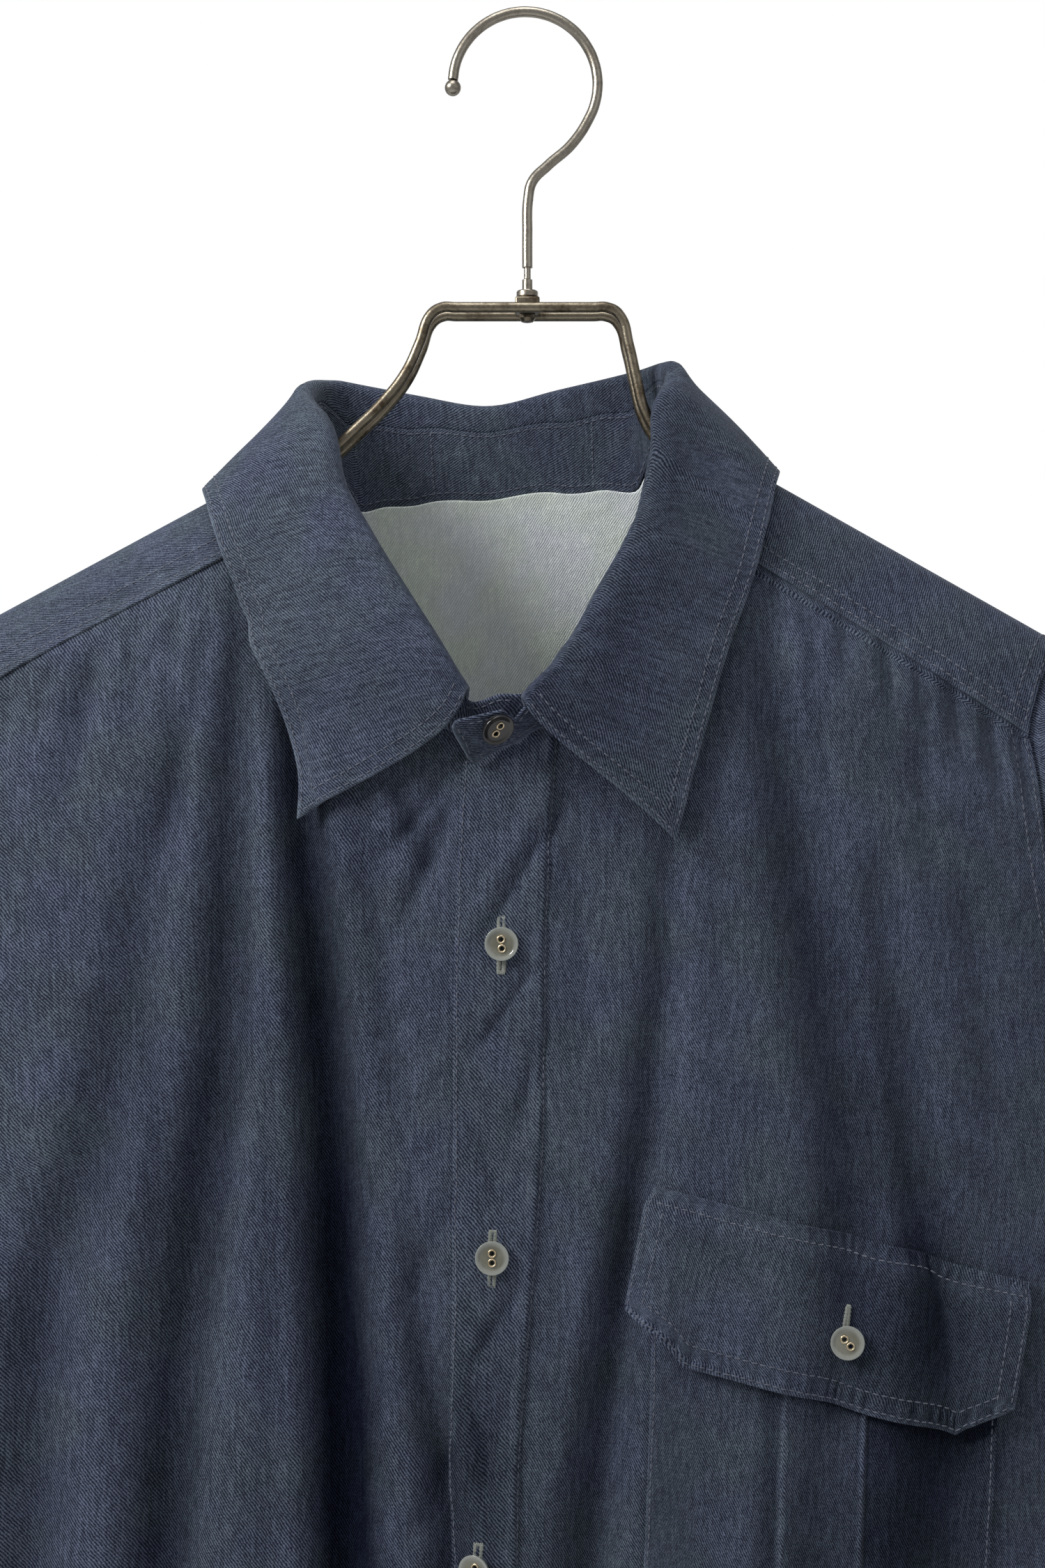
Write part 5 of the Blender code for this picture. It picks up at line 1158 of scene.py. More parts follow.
def placketPiece():
    # the top edge follows the foot of the stand that covers it
    part = np.linspace(0, 1, 260)[:, None]
    share = np.concatenate([np.linspace(0, 0.92, 24), np.linspace(0.935, 1, 5)])[None, :]
    left, right = placketStrip["topEnds"]
    x = left + (right - left) * share
    bendX, bendZ, slopeLeft, slopeRight = placketStrip["top"]
    top = bendZ + np.where(x < bendX, slopeLeft, slopeRight) * (x - bendX)
    z = top + (-body["length"] - 0.0004 - top) * part ** 1.05
    edges = along(shirtBody["placketEdges"], -z)
    x = edges[..., 0] + (edges[..., 1] - edges[..., 0]) * share
    sunk = 0.0019 * ease((share - 0.925) / 0.075)  # the right edge lies flat in the front
    drag = 0.00035 * np.sin((x * 0.8 + z) * 330 + 2.2 * np.sin(z * 47)) * np.exp(-((share - 0.5) / 0.6) ** 2)
    middle = lifted(x, z, placketStrip["gap"] + shirtBody["cloth"] / 2 + drag - sunk)
    wearAndShade = wearAlong(middle, ("left",), 0.14, 0.0014)
    # painted shade from the shade tables and in the creases' troughs; the creases' crests paler, as worn
    wearAndShade = wearAndShade - shadeAt(x, z, 1) - np.clip(creaseShift(x, z, 1) / 0.010, -0.15, 0.30)
    wearAndShade = wearAndShade + np.exp(-((share - 0.86) / 0.035) ** 2) * 0.26 * (0.6 + 0.4 * np.sin(z * 160))
    return stripOnFront("placket_strip", "placket", middle, wearAndShade, outsideFront)


chestPocket = {
    "corner": (0.0457, -0.4228), "across": (0.9650, -0.2600),
    "down": (-0.1650, -0.9860), "downBelow": (-0.0450, -0.9990),
    "flapWidth": 0.1353, "flapHeight": 0.0575, "flapCorner": 0.0180, "flapCornerRise": 0.0140,
    "flapLift": 0.0046,
    "width": 0.1250, "inset": 0.0003, "button": (0.0742, 0.0349), "top": 0.0170, "height": 0.1500,
    "clip": 0.0180, "gap": 0.0016,
    "pleatWidth": 0.0310, "pleatRise": 0.0011,
}


def pocketPlace(across, down, below=False):
    slant = chestPocket["downBelow" if below else "down"]
    x = chestPocket["corner"][0] + chestPocket["across"][0] * across + slant[0] * down
    return x, chestPocket["corner"][1] + chestPocket["across"][1] * across + slant[1] * down


def clipped(across, width, height, corner, rise):  # how far down a pocket with clipped corners reaches
    return height - np.maximum(np.maximum(corner - across, across - (width - corner)), 0.0) * rise / corner


def flapDown(across):
    keys = ("flapWidth", "flapHeight", "flapCorner", "flapCornerRise")
    return clipped(across, *(chestPocket[key] for key in keys))


def bandOver(values, middle, half):  # a soft band of strength 1 round its middle
    return np.exp(-((values - middle) / half) ** 2)


def flapPiece():
    part, share = np.linspace(0, 1, 56)[:, None], np.linspace(0, 1, 112)[None, :]
    across = chestPocket["flapWidth"] * share
    down = flapDown(across) * part
    x, z = pocketPlace(np.broadcast_to(across, down.shape), down)
    lift = chestPocket["gap"] + chestPocket["flapLift"] * ease(part / 0.20) + shirtBody["cloth"] / 2
    pucker = np.sin(share * 165 + 2 * np.sin(share * 23)) + 0.6 * np.sin(share * 290 + 1 + np.sin(share * 37))
    pucker = pucker * (bandOver(part, 0.93, 0.06) + 0.8 * bandOver(part, 0.07, 0.07))
    lift = lift + 0.0005 * np.sin(share * 17 + 1) * part + 0.00034 * pucker
    lift = lift + 0.0010 * bandOver(share, 0.52, 0.05) * bandOver(part, 0.60, 0.12)
    middle = lifted(x, z, lift)
    # pale worn edges, painted shade from the shade tables, and the puckers painted paler on their crests and
    # darker in their hollows
    wearAndShade = wearAlong(middle, ("left", "right", "bottom"), 0.24, 0.0014) - shadeAt(x, z, 1) + 0.12 * pucker
    return stripOnFront("pocket_flap_piece", "pocket_flap", middle, wearAndShade, outsideFlap)


def pocketPiece():
    centre, half = chestPocket["width"] / 2, chestPocket["pleatWidth"] / 2
    fold = [centre - half + shift for shift in (-0.0012, -0.0002, 0.0006, 0.0016)]
    fold += [2 * centre - mark for mark in reversed(fold)]
    across = np.unique(np.concatenate([np.linspace(0, chestPocket["width"], 92), fold]))[None, :]
    part = np.linspace(0, 1, 90)[:, None]
    bottom = clipped(across, *(chestPocket[key] for key in ("width", "height", "clip", "clip")))
    down = chestPocket["top"] + (bottom - chestPocket["top"]) * part
    fromFlap = across + chestPocket["inset"]
    x, z = pocketPlace(np.broadcast_to(fromFlap, down.shape), down, True)
    inPleat = ease((half + 0.0008 - np.abs(across - centre)) / 0.0014)
    lift = chestPocket["gap"] + shirtBody["cloth"] / 2 + chestPocket["pleatRise"] * inPleat
    lift = lift + 0.0004 * np.sin(across * 90 + part * 3) * np.sin(part * 6)
    middle = lifted(x, z, lift)
    # pale worn edges, and painted shade from the shade tables
    wearAndShade = wearAlong(middle, ("left", "right", "bottom"), 0.22, 0.0014) - shadeAt(x, z, 1)
    # painted shade right of the pleat, and in a band beside its left side
    wearAndShade = wearAndShade - 0.16 * ease((across - centre - half + 0.001) / 0.002)
    wearAndShade = wearAndShade - 0.22 * bandOver(across, centre - half - 0.0045, 0.0040)
    below = np.maximum(down - flapDown(fromFlap) - 0.0004, 0)
    wearAndShade = wearAndShade - 0.36 * bandOver(below, 0, 0.0022)  # in the flap's shadow
    # paler along the pleat's two folded edges
    wearAndShade = wearAndShade + 0.24 * bandOver(np.abs(across - centre), half - 0.0008, 0.0007)
    return stripOnFront("patch_pocket", "pocket", middle, wearAndShade, outsideFront)


# sleeves and cuffs
sleeves = {
    "under": 0.0020,
    "endDrop": 0.765,
    "cuffHeight": 0.064,
    "cuffCloth": 0.0016,
    "rings": metres([  # outer x and drop, inner x and drop, half depth
        (233, 243, 259, 460, 42), (268, 270, 261.5, 467, 46), (302, 315, 263, 478, 48),
        (328, 370, 264.5, 493, 49), (349, 440, 267, 520, 48.5), (362, 520, 269, 565, 47),
        (368, 600, 270, 625, 44), (369, 680, 271.5, 688, 41), (365, 735, 274, 735, 38),
        (360, 765, 278, 765, 33),
    ]),
    "middleX": float(centreX(-0.30)),
}


def armholeLoop(side):
    # points round the armhole and their angles: the ridge, down the front, the underarm and up the back
    halves = {}
    corner = 3
    steps = np.linspace(0, corner, 16)[:-1]
    for face in (1, -1):
        rows = armholeRows(side, face)
        over = []
        for share in np.interp(steps, (0, 1, 2, 3), (0, 0.3, 0.65, 1)):
            over.append(aroundShoulder(*map(np.array, armholeTop(side, face, share))))
        marks = np.linspace(0, len(rows) - 1, 36)
        x, z = np.moveaxis(along([(index, *row) for index, row in enumerate(rows)], marks), -1, 0)
        angle = np.concatenate([steps, corner + marks]) / (corner + len(rows) - 1) * math.pi
        halves[face] = np.concatenate([np.array(over), onBody(x, z, face, False)]), angle
    loop = np.concatenate([halves[1][0], halves[-1][0][:0:-1][1:]])
    angles = np.concatenate([halves[1][1], 2 * math.pi - halves[-1][1][:0:-1][1:]])
    under = len(halves[1][0]) - 1
    loop[under, 1] = 0.0
    return loop, angles, under


def sleevePiece(side):
    loop, angles, under = armholeLoop(side)
    rings = [loop]
    for number, (outerX, outerDrop, innerX, innerDrop, halfDepth) in enumerate(sleeves["rings"]):
        outer, inner = (np.array([sleeves["middleX"] + side * x, 0, -drop])
                        for x, drop in ((outerX, outerDrop), (innerX, innerDrop)))
        centre, reach = (outer + inner) / 2, (outer - inner) / 2
        follow = max(1 - (number + 1) / 3.5, 0.0) * 0.55
        grow = np.linalg.norm(reach) / (np.linalg.norm(loop[0] - loop[under]) / 2)
        forward = np.array([0, -halfDepth, 0]) * np.sin(angles)[:, None]
        ovalRing = centre + reach * np.cos(angles)[:, None] + forward
        drift = centre + (loop - (loop[0] + loop[under]) / 2) * grow
        rings.append(ovalRing * (1 - follow) + drift * follow)
    rings = np.array(rings)
    rings[0] = rings[0] - unit(rings[1] - rings[0]) * sleeves["under"]
    marks = np.linspace(0, len(rings) - 1, 150)
    table = np.concatenate([np.arange(len(rings))[:, None], rings.reshape(len(rings), -1)], axis=1)
    grid = along(table, marks).reshape(len(marks), len(angles), 3)
    centres = grid.mean(axis=1, keepdims=True)
    normals = facing(grid, grid - centres, True)
    down, turn = marks[:, None] / (len(rings) - 1), angles[None, :]
    free = 0.30 + 0.70 * ease((np.cos(turn) + 0.35) / 0.8)  # less of it next to the body
    elbow = bandOver(down, 0.60, 0.16)
    top = ease((down - 0.03) / 0.12)
    wrist = bandOver(down, 1, 0.12)
    slants = np.sin(down * 34 + turn * 2 + side) * 0.5 + np.sin(down * 21 - turn * 3 + 1.7) * 0.5
    long = np.sin(turn * 4 + 1.2 * np.sin(down * 5) + side)
    shift = -0.0012 - 0.0026 * elbow * slants * free - 0.0018 * long * free * top
    shift = shift - 0.0014 * np.sin(turn * 16 + 3 * down) * wrist
    start = ease(1 - lengthsAlong(grid, 0) / 0.0085)
    shift = np.minimum(shift, 0.0012) * top - 0.0021 * start  # its start lies under the armhole's edge
    middle = grid + normals * (shift - shirtBody["cloth"] / 2)[..., None]
    # painted shade in the troughs of the sleeve's folds; the crests paler, as worn
    wearAndShade = np.clip(0.5 + (shift + 0.0012) / 0.010, 0.1, 0.9)
    name = "sleeve_" + ("left" if side > 0 else "right")
    return makeCloth(name + "_piece", name, middle, facing(middle, middle - centres, True), shirtBody["cloth"],
                     tubePlaces(middle, side), wearAndShade, (outsideBack, insideCloth), True)


def cuffPiece(side):
    outerX, _, innerX, _, halfDepth = sleeves["rings"][-1]
    middleX = sleeves["middleX"] + side * (outerX + innerX) / 2
    angles = np.linspace(0, math.tau, 97)[:-1][None, :]
    part = np.linspace(0, 1, 36)[:, None]
    halfX, halfY = (outerX - innerX) / 2 + 0.0006 - 0.001 * part, halfDepth + 0.0006 - 0.001 * part
    z = -(sleeves["endDrop"] + shirtBody["seamGap"] + sleeves["cuffHeight"] * part)
    wave = 0.0007 * np.sin(angles * 3 + 1) * part
    x = middleX + side * (halfX - wave) * np.cos(angles) + side * 0.003 * part
    grid = points(x, -(halfY - wave) * np.sin(angles), z)
    normals = facing(grid, grid - grid.mean(axis=1, keepdims=True), True)
    middle = grid - normals * sleeves["cuffCloth"] / 2
    name = "cuff_" + ("left" if side > 0 else "right")
    return makeCloth(name + "_piece", name, middle, normals, sleeves["cuffCloth"], tubePlaces(middle, side),
                     wearAlong(middle, ("top", "bottom"), 0.32, 0.0014), (outsideBack, insideCloth), True)


cloths = {
    "stand": collarStand(), "fall": collarFall(), "right": frontPanel(-1), "left": frontPanel(1),
    "back": backPanel(), "yoke": yokePiece(), "placket": placketPiece(), "flap": flapPiece(),
    "pocket": pocketPiece(), "sleeveRight": sleevePiece(-1), "sleeveLeft": sleevePiece(1),
    "cuffRight": cuffPiece(-1), "cuffLeft": cuffPiece(1),
}
print("made the cloth")

# stitching: rows beside the edges, by edge, distance from it and what is left out at each end, in millimetres
stitchPlans = {
    "standIn": [("bottom", 2.1, 4, 4), ("top", 3, 4, 4)],
    "standOut": [("bottom", 2.1, 4, 6), ("top", 3, 4, 6), ("right", 2.4, 2, 2)],
    "fall": [("bottom", 2, 2, 2), ("bottom", 6.6, 6.6, 6.6), ("left", 2, 1, 2), ("left", 6.6, 1, 6.6),
             ("right", 2, 1, 2), ("right", 6.6, 1, 6.6)],
    "yoke": [("left", 2.4, 4, 1), ("left", 8.8, 4, 1), ("right", 2.4, 4, 1), ("right", 7.6, 4, 1),
             ("bottom", 2, 3, 3), ("bottom", 7.8, 3, 3)],
    "placket": [("left", 1.3, 0, 0), ("right", 1.2, 0, 0), ("bottom", 6, 4, 4)],
    "flap": [("top", 6, 2, 2), ("left", 1.8, 2, 2), ("left", 7.8, 8, 6), ("right", 1.8, 2, 2),
             ("right", 7.8, 8, 6), ("bottom", 1.8, 2, 2), ("bottom", 8, 8, 8)],
    "pocket": [("left", 1.6, 0, 2), ("right", 1.6, 0, 2), ("bottom", 1.6, 2, 2), ("bottom", 7.2, 8, 8)],
    "frontArmhole": [("right", 2.2, 3, 2), ("right", 8.4, 3, 8)],
    "frontSide": [("right", 2.6, 4, 4)],
    "frontHem": [("bottom", 6, 16, 4)],
    "backArmholes": [("left", 2.2, 3, 2), ("left", 8.4, 3, 8), ("right", 2.2, 3, 2), ("right", 8.4, 3, 8)],
    "backHem": [("bottom", 6, 4, 4)],
    "cuff": [("top", 1.8, 0, 0), ("top", 7.8, 0, 0), ("bottom", 1.8, 0, 0), ("bottom", 7.8, 0, 0)],
}
labelEnds = (0.470, 0.556)  # two short rows on the bare middle of the stand, by t
armholeRowsEnd = int(shirtBody["rows"] * 7 / 15)


def clothSide(key, side=1):  # the outer surface of a piece, or the inner one, and its normals
    _, middle, normals, thick = cloths[key]
    return middle + side * normals * thick / 2, side * normals


def sewnRows(key, plan, rows=slice(None), side=1, around=False):
    surface, normals = (grid[rows] for grid in clothSide(key, side))
    if around:
        surface, normals = (np.concatenate([grid, grid[:, :1]], axis=1) for grid in (surface, normals))
    made = []
    for edge, *lengths in stitchPlans[plan]:
        distance, *trim = metres(lengths)
        route, up = edgeRoute(surface, normals, edge, distance, trim)
        if len(route) > 2:
            made.append(seam(route, up, sewing["step"]))
    return np.concatenate(made)


stitchSets = {"stand": [sewnRows("stand", "standIn", side=-1), sewnRows("stand", "standOut")]}
standIn, standInUp = clothSide("stand", -1)
for labelEnd in labelEnds:
    column = int(np.argmin(np.abs(standColumns - labelEnd)))
    stitchSets["stand"].append(seam(standIn[1:-1, column], standInUp[1:-1, column], sewing["labelStep"]))
stitchSets["fall"] = [sewnRows("fall", "fall", slice(13, None))]
for key in ("yoke", "placket", "flap", "pocket"):
    stitchSets[key] = [sewnRows(key, key)]
armhole, belowArmhole = slice(armholeRowsEnd), slice(armholeRowsEnd, None)
for key in ("right", "left"):
    stitchSets[key] = [sewnRows(key, "frontArmhole", armhole), sewnRows(key, "frontSide", belowArmhole),
                       sewnRows(key, "frontHem")]
stitchSets["back"] = [sewnRows("back", "backArmholes", armhole), sewnRows("back", "backHem")]
for key in ("cuffRight", "cuffLeft"):
    stitchSets[key] = [sewnRows(key, "cuff", around=True)]
threadSlots = dict.fromkeys(("stand", "fall"), "indigo_twill_collar")  # all others are of the body's twill
for key, rows in stitchSets.items():
    thread = makeThread("stitches_" + key, np.concatenate(rows), sewing["thick"], threadBlue)
    (thread, threadSlots.get(key, "indigo_twill"))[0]
print("made the stitches", sum(len(rows) for made in stitchSets.values() for rows in made))

# buttonholes, worked in pale thread
buttonholes = {
    "length": 0.0185, "halfWidth": 0.00088, "thick": 0.00066, "step": 0.00046,
    "flapLength": 0.0160, "flapFlare": 1.2,
    "front": [(0.3386, -0.0089), (0.4470, -0.0123), (0.5550, -0.0166), (0.6640, -0.0180), (0.7720, -0.0195)],
    "flap": (0.0722, 0.0318),
}


def buttonhole(place, down, liftOff, length, flare=0.0):
    # rows of short threads on both sides of a slot, closed by a bar at each end; place and down are x and z
    place, down = np.array(place), unit(np.array(down))
    beside = np.array([-down[1], down[0]])
    rows = []
    count = int(length / buttonholes["step"])
    for side in (-1, 1):  # the slot's two sides
        for index in range(count + 1):
            share = index / count
            half = buttonholes["halfWidth"] * (1 + flare * (share - 0.35))
            spot = place + down * (share - 0.5) * length + beside * side * half
            rows.append((*spot, *beside, 0.0017 + 0.0002 * math.sin(index * 2.3 + side)))
    for end in (-1, 1):
        for index in range(-2, 3):
            spot = place + down * (end * (length / 2 + 0.0002)) + beside * index * 0.00055
            rows.append((*spot, *down, 0.0016))
    x, z, aheadX, aheadZ, long = np.array(rows).T
    surface = lifted(x, z, liftOff)
    ahead = lifted(x + aheadX * 0.0005, z + aheadZ * 0.0005, liftOff) - surface
    return np.concatenate([surface, unit(ahead), bodyNormal(x, z, 1), long[:, None]], axis=1)


def holeThread(name, rows):
    return makeThread(name, rows, buttonholes["thick"], threadPale)


onStrip = placketStrip["gap"] + shirtBody["cloth"]
onFlap = chestPocket["gap"] + chestPocket["flapLift"] + shirtBody["cloth"]
frontHoles = holeThread("buttonholes_front", np.concatenate([
    buttonhole((x, -drop - 0.0006), (-0.03, -1.0), onStrip + 0.00012, buttonholes["length"])
    for drop, x in buttonholes["front"]]))
flapHoles = holeThread("buttonhole_flap", buttonhole(
    pocketPlace(*buttonholes["flap"]), (-0.148, -0.989), onFlap + 0.0011, buttonholes["flapLength"],
    buttonholes["flapFlare"]))


# hard pieces
def freshStart():
    if bpy.context.object and bpy.context.object.mode != "OBJECT":
        bpy.ops.object.mode_set(mode="OBJECT")
    bpy.ops.object.select_all(action="DESELECT")


def selectFaces(piece, test):
    bpy.ops.object.mode_set(mode="OBJECT")
    mesh = piece.data
    for group in (mesh.vertices, mesh.edges, mesh.polygons):
        group.foreach_set("select", np.zeros(len(group), dtype=bool))
    for face in mesh.polygons:
        face.select = bool(test(face))
    bpy.ops.object.mode_set(mode="EDIT")
    bpy.ops.mesh.select_mode(type="FACE")


def lathePiece(name, radius, low, high, sides=56):
    freshStart()
    middle = (0, 0, (low + high) / 2)
    bpy.ops.mesh.primitive_cylinder_add(vertices=sides, radius=radius, depth=high - low, location=middle)
    piece = bpy.context.object
    piece.name = name
    bpy.ops.object.transform_apply(location=True, rotation=True, scale=True)
    return piece


def bevelRims(piece, width, segments=3, angle=40):
    bevel = piece.modifiers.new("rounded rims", "BEVEL")
    bevel.width, bevel.segments = width, segments
    bevel.limit_method, bevel.angle_limit = "ANGLE", math.radians(angle)
    bpy.context.view_layer.objects.active = piece
    bpy.ops.object.modifier_apply(modifier=bevel.name)


def smoothed(piece, angle=40):
    freshStart()
    piece.select_set(True)
    bpy.context.view_layer.objects.active = piece
    bpy.ops.object.shade_smooth_by_angle(angle=math.radians(angle))
    return piece


def joined(name, pieces):
    freshStart()
    for piece in pieces:
        piece.select_set(True)
    bpy.context.view_layer.objects.active = pieces[0]
    bpy.ops.object.join()
    whole = bpy.context.object
    whole.name = name
    return whole


def clad(piece, material, nodeName):
    piece.data.materials.append(material)
    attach(piece, "root")
    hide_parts(nodeName)


shirtButton = {
    "radius": 0.0060, "thick": 0.0024, "rim": 0.0011, "dish": 0.0006, "holeApart": 0.0016, "hole": 0.00078,
    "eyelet": 0.00122, "eyeletWire": 0.00028,
    "turns": (96, 90, 78, 112, 84),  # of the holes of the front buttons, in degrees from level
}


def makeButton(name, shell):
    size = shirtButton
    disc = lathePiece(name, size["radius"], 0, size["thick"])
    selectFaces(disc, lambda face: face.normal.z > 0.9)
    bpy.ops.mesh.inset(thickness=size["rim"])
    bpy.ops.transform.translate(value=(0, 0, -size["dish"] * 0.35))
    bpy.ops.mesh.inset(thickness=0.0007)
    bpy.ops.transform.translate(value=(0, 0, -size["dish"] * 0.65))
    selectFaces(disc, lambda face: face.normal.z < -0.9)
    bpy.ops.transform.resize(value=(0.86, 0.86, 1))
    bpy.ops.object.mode_set(mode="OBJECT")
    bevelRims(disc, 0.00042, 4, 25)
    for side in (-1, 1):
        drill = lathePiece("drill", size["hole"], -0.001, size["thick"] + 0.001, 24)
        drill.location.x = side * size["holeApart"]
        cut = disc.modifiers.new("hole", "BOOLEAN")
        cut.object, cut.operation, cut.solver = drill, "DIFFERENCE", "EXACT"
        bpy.context.view_layer.update()
        bpy.context.view_layer.objects.active = disc
        bpy.ops.object.modifier_apply(modifier=cut.name)
        bpy.data.objects.remove(drill, do_unlink=True)
    smoothed(disc, 35)
    disc.data.materials.clear()
    disc.data.materials.append(shell)
    rim = disc.data.attributes.new("rim", "FLOAT", "POINT")
    rim.data.foreach_set("value", [math.hypot(*point.co[:2]) / size["radius"] for point in disc.data.vertices])
    rings = []
    for side in (-1, 1):
        freshStart()
        place = (side * size["holeApart"], 0, size["thick"] - size["dish"] + 0.00012)
        bpy.ops.mesh.primitive_torus_add(major_radius=size["eyelet"], minor_radius=size["eyeletWire"],
                                         major_segments=32, minor_segments=10, location=place)
        ring = bpy.context.object
        bpy.ops.object.transform_apply(location=True, rotation=True, scale=True)
        bpy.ops.object.shade_smooth()
        ring.data.materials.append(eyeletBrass)
        rings.append(ring)
    return joined(name, [disc] + rings)


def setButton(pattern, name, place, normal, turn):
    # a copy of the pattern button, its holes turned this far from level
    piece = linked(name + "_shell", pattern.data.copy())
    normal = Vector(normal)
    level = Vector((0, 0, 1)).cross(normal).normalized()
    upright = normal.cross(level)
    across = level * math.cos(turn) + upright * math.sin(turn)
    basis = np.eye(4)
    basis[:3, 0], basis[:3, 1], basis[:3, 2], basis[:3, 3] = across, normal.cross(across), normal, place
    piece.data.transform(Matrix(basis.tolist()))
    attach(piece, "root")
    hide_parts(name)
    return piece


def setOnCloth(pattern, name, x, z, lift, turn):
    x, z = np.array(x), np.array(z)
    piece = setButton(pattern, name, lifted(x, z, lift), bodyNormal(x, z, 1), math.radians(turn))
    return piece


shellPattern, darkPattern = makeButton("pattern shell", greyShell), makeButton("pattern dark", darkShell)
for number, ((drop, x), turn) in enumerate(zip(buttonholes["front"], shirtButton["turns"]), 1):
    setOnCloth(shellPattern, "button_front_%d" % number, x, -drop, onStrip + 0.0006, turn)
setOnCloth(shellPattern, "button_flap", *pocketPlace(*chestPocket["button"]), onFlap + 0.0024, -48)
foot, up, away, stand, _ = standFoot(np.array(1.041))
standPlace = foot + up * float(stand) * 0.74 + away * (collar["cloth"] / 2 + 0.0030)
setButton(darkPattern, "button_stand", standPlace, away, math.radians(75))
outerX, _, innerX, _, halfDepth = sleeves["rings"][-1]
halfX, angle = (outerX - innerX) / 2, math.radians(-62)
for side, name in ((-1, "button_cuff_right"), (1, "button_cuff_left")):
    middleX = sleeves["middleX"] + side * (outerX + innerX) / 2 + side * 0.0015
    middle = np.array([middleX, 0, -(sleeves["endDrop"] + 0.032)])
    place = middle + np.array([side * math.cos(angle) * halfX, math.sin(angle) * halfDepth, 0])
    outward = unit(np.array([side * math.cos(angle) / halfX, math.sin(angle) / halfDepth, 0]))
    setButton(shellPattern, name, place + outward * 0.0014, outward, math.radians(80))
for pattern in (shellPattern, darkPattern):
    bpy.data.objects.remove(pattern, do_unlink=True)
print("made the buttons")

# the hanger
hanger = {
    "wire": 0.00193, "spacing": 0.0150, "hookX": -0.0008, "hookRadius": 0.0267, "ball": 0.0030,
    "ballAngle": math.pi + 0.05, "hookFrom": math.pi - 0.06, "hookSweep": math.pi + math.radians(22),
    "hookRoute": [(0.0164, -0.0469), (0.0075, -0.0548), (0.0018, -0.0608), (0.0003, -0.0674), (0.0, -0.0800)],
    "stemEnd": -0.0924, "pin": 0.00125, "pinEnd": -0.0966,
    "nut": metres([  # radius, z
        (0, -97), (1.9, -97), (1.9, -101.1), (3.7, -101.1), (4, -101.5), (4, -103.2), (3.7, -103.6),
        (0, -103.6),
    ]),
    "rivet": metres([(0, -109.9), (3, -109.9), (3, -111.2), (2.2, -112.4), (0, -112.8)]),
    "block": (0.0090, -0.1040, -0.1095),
    "bar": (-0.0265, -0.012, 0.0, 0.012, 0.0245), "barZ": -0.1087,
    "legs": metres({
        -1: [(-31, -108.7), (-35.2, -111.2), (-39.5, -121.9), (-44.5, -132.5), (-52.4, -142.8), (-62, -152.3)],
        1: [(29, -108.7), (33.3, -111), (37.2, -122.9), (40, -135.5), (43, -146.5), (49, -155.8)],
    }),
    "armReach": 0.182, "armDrop": 0.0068,
}


def wirePiece(name, route, radius, closed=False, resolution=14):
    line = bpy.data.curves.new(name, "CURVE")
    line.dimensions = "3D"
    line.bevel_depth, line.bevel_resolution = radius, 7
    line.resolution_u, line.use_fill_caps = resolution, True
    spline = line.splines.new("BEZIER")
    spline.bezier_points.add(len(route) - 1)
    for point, place in zip(spline.bezier_points, route):
        point.co = place
        point.handle_left_type = point.handle_right_type = "AUTO"
    spline.use_cyclic_u = closed
    piece = linked(name, line)
    freshStart()
    piece.select_set(True)
    bpy.context.view_layer.objects.active = piece
    bpy.ops.object.convert(target="MESH")
    piece = bpy.context.object
    bpy.ops.object.shade_smooth_by_angle(angle=math.radians(60))
    return piece


def hookArc(angle):
    radius = hanger["hookRadius"]
    middle = Vector((hanger["hookX"], 0, hanger["wire"] - radius))
    return middle + Vector((math.cos(angle), 0, math.sin(angle))) * radius


def hookRoutePoints():
    route = [hookArc(hanger["hookFrom"] - hanger["hookSweep"] * step / 18) for step in range(19)]
    return route + [Vector((x, 0, z)) for x, z in hanger["hookRoute"] + [(0, hanger["stemEnd"])]]


hook = wirePiece("hook_wire", hookRoutePoints(), hanger["wire"])
freshStart()
bpy.ops.mesh.primitive_uv_sphere_add(
    segments=32, ring_count=20, radius=hanger["ball"], location=hookArc(hanger["ballAngle"]))
ball = bpy.context.object
bpy.ops.object.transform_apply(location=True, rotation=True, scale=True)
smoothed(ball, 60)
pin = lathePiece("pin", hanger["pin"], hanger["pinEnd"], hanger["stemEnd"] + 0.001, 24)
smoothed(pin)
hook = joined("hook_with_ball", [hook, ball, pin])
clad(hook, wornNickel, "hanger_hook")


def turnedPiece(name, profile, angle):
    # a cylinder for each step of the profile, narrowed at one end where the profile tapers, all joined
    rings = []
    for (radius, top), (nextRadius, low) in zip(profile, profile[1:]):
        if abs(top - low) < 1e-6:
            continue
        wide, slim = max(radius, nextRadius), min(radius, nextRadius)
        ring = lathePiece(name + "_ring", wide, low, top, 40)
        middle, narrowTop = (low + top) / 2, radius < nextRadius
        selectFaces(ring, lambda face: abs(face.normal.z) > 0.9 and (face.center.z > middle) == narrowTop)
        if wide - slim > 1e-6:
            ratio = max(slim, 0.0004) / wide
            bpy.ops.transform.resize(value=(ratio, ratio, 1), center_override=(0, 0, 0), orient_type="GLOBAL")
        bpy.ops.object.mode_set(mode="OBJECT")
        rings.append(smoothed(ring, angle))
    return joined(name, rings)


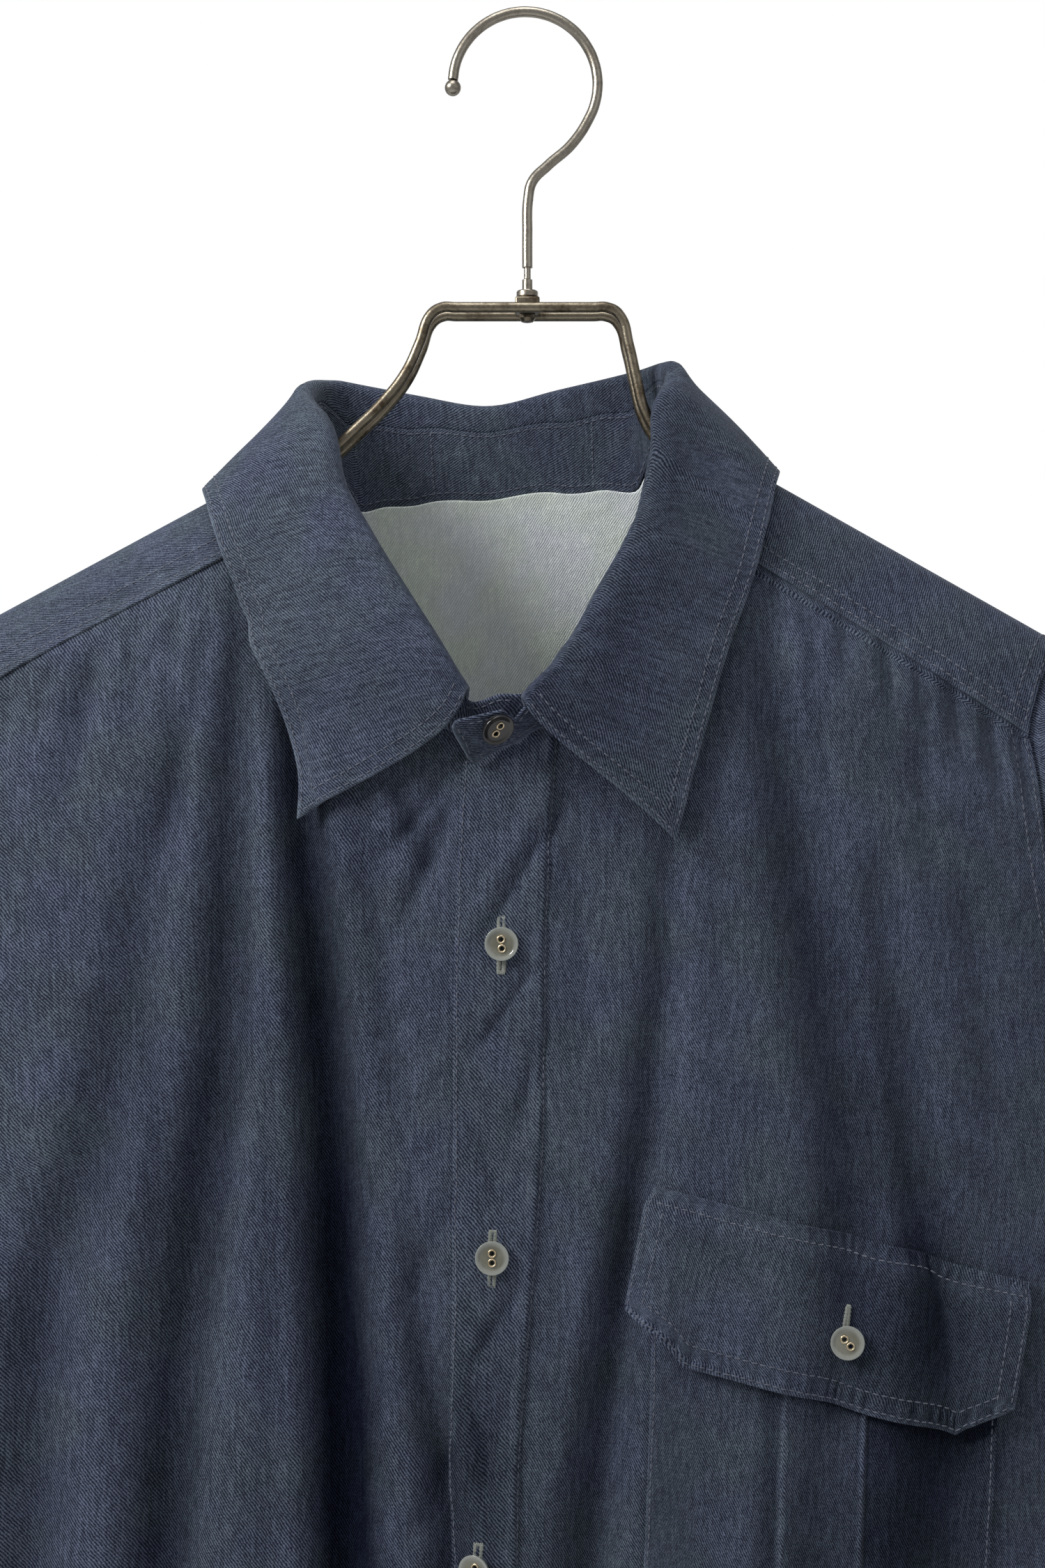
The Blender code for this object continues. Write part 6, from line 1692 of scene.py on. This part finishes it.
clad(turnedPiece("nut_and_sleeve", hanger["nut"], 30), wornNickel, "hanger_nut")
clad(turnedPiece("rivet_under_block", hanger["rivet"], 50), agedBrass, "hanger_rivet")
blockWidth, blockTop, blockLow = hanger["block"]
freshStart()
bpy.ops.mesh.primitive_cube_add(size=1, location=(0, 0, (blockTop + blockLow) / 2))
block = bpy.context.object
block.name = "wire_block"
block.scale = (blockWidth, hanger["spacing"] - 2 * (hanger["wire"] + 0.0003), blockTop - blockLow)
bpy.ops.object.transform_apply(location=True, rotation=True, scale=True)
bevelRims(block, 0.0007, 3)
smoothed(block, 40)
clad(block, agedBrass, "hanger_block")


def framePoints():
    middleX = float(centreX(-0.20))
    halves = {}
    for side in (-1, 1):
        legs = [Vector((x, 0, z)) for x, z in hanger["legs"][side]]
        start = abs(legs[-1].x - middleX) + 0.012
        arm = []
        for step in range(7):
            x = middleX + side * (start + (hanger["armReach"] - start) * step / 6)
            arm.append(Vector((x, 0, float(ridgeZ(np.array(x))) - hanger["armDrop"])))
        halves[side] = legs + arm
    half = hanger["spacing"] / 2
    bar = [Vector((x, 0, hanger["barZ"])) for x in hanger["bar"]]
    front = halves[-1][::-1] + bar + halves[1]
    route = [place + Vector((0, -half, 0)) for place in front]
    for side in (1, -1):
        before, end = halves[side][-2:]
        slope = (end - before).normalized()
        for angle in map(math.radians, (-60, -30, 0, 30, 60)):
            route.append(end + slope * half * math.cos(angle) + Vector((0, side * half * math.sin(angle), 0)))
        if side > 0:
            route += [place + Vector((0, half, 0)) for place in front[::-1]]
    return route


frameWire = wirePiece("double_wire_frame", framePoints(), hanger["wire"], True, 8)
clad(frameWire, agedBrass, "hanger_frame")
print("made the hanger")

# the cloth pieces, by key
clothPieces = {key: made[0] for key, made in cloths.items()}
for key, piece in clothPieces.items():
    threadSlots.get(key, "indigo_twill")

# floor, light and camera
studio = {
    "camera": (-0.0018, -0.803, -0.2828), "lens": 50, "sensor": 36, "aim": (0, 0, -0.38),
    "floorZ": -1.25, "floorTone": (0.92, 0.92, 0.92, 1), "ambient": ((0.95, 0.97, 1.0, 1), 0.36),
    "lights": {  # place, size, power
        "key": ((-1.05, -0.66, 0.42), 0.6, 22), "fill": ((1.2, -1.3, 0.4), 1.6, 3),
        "top": ((-0.1, -0.45, 1.1), 0.9, 9), "back": ((0.5, 1.5, 0.4), 1.4, 6),
    },
}


def areaLight(name, place, size, power):
    data = bpy.data.lights.new(name, "AREA")
    data.shape, data.size, data.energy = "DISK", size, power
    lamp = linked(name, data)
    lamp.location = place
    lamp.rotation_euler = (Vector(studio["aim"]) - Vector(place)).to_track_quat("-Z", "Y").to_euler()


for name, light in studio["lights"].items():
    areaLight(name, *light)
freshStart()
bpy.ops.mesh.primitive_plane_add(size=6, location=(0, 0, studio["floorZ"]))
floor = bpy.context.object
floor.name = "studio_floor"
floor.data.materials.append(newMaterial("pale floor", Roughness=0.9, Base_Color=studio["floorTone"])[0])
world = bpy.data.worlds.new("studio")
bpy.context.scene.world = world
world.use_nodes = True
tree = world.node_tree
ambient = tree.nodes["Background"]
setInputs(tree, ambient, dict(enumerate(studio["ambient"])))
white = node(tree, "ShaderNodeBackground", {0: (1, 1, 1, 1), 1: 1.0})
seen = node(tree, "ShaderNodeLightPath").outputs["Is Camera Ray"]
both = node(tree, "ShaderNodeMixShader", {0: seen, 1: ambient.outputs[0], 2: white.outputs[0]})
tree.links.new(both.outputs[0], tree.nodes["World Output"].inputs[0])
bpy.context.scene.view_settings.view_transform = "Standard"
lens = bpy.data.cameras.new("photo")
lens.sensor_fit, lens.sensor_height, lens.lens = "VERTICAL", studio["sensor"], studio["lens"]
camera = linked("photo", lens)
camera.location, camera.rotation_euler = studio["camera"], (math.pi / 2, 0, 0)
bpy.context.scene.camera = camera

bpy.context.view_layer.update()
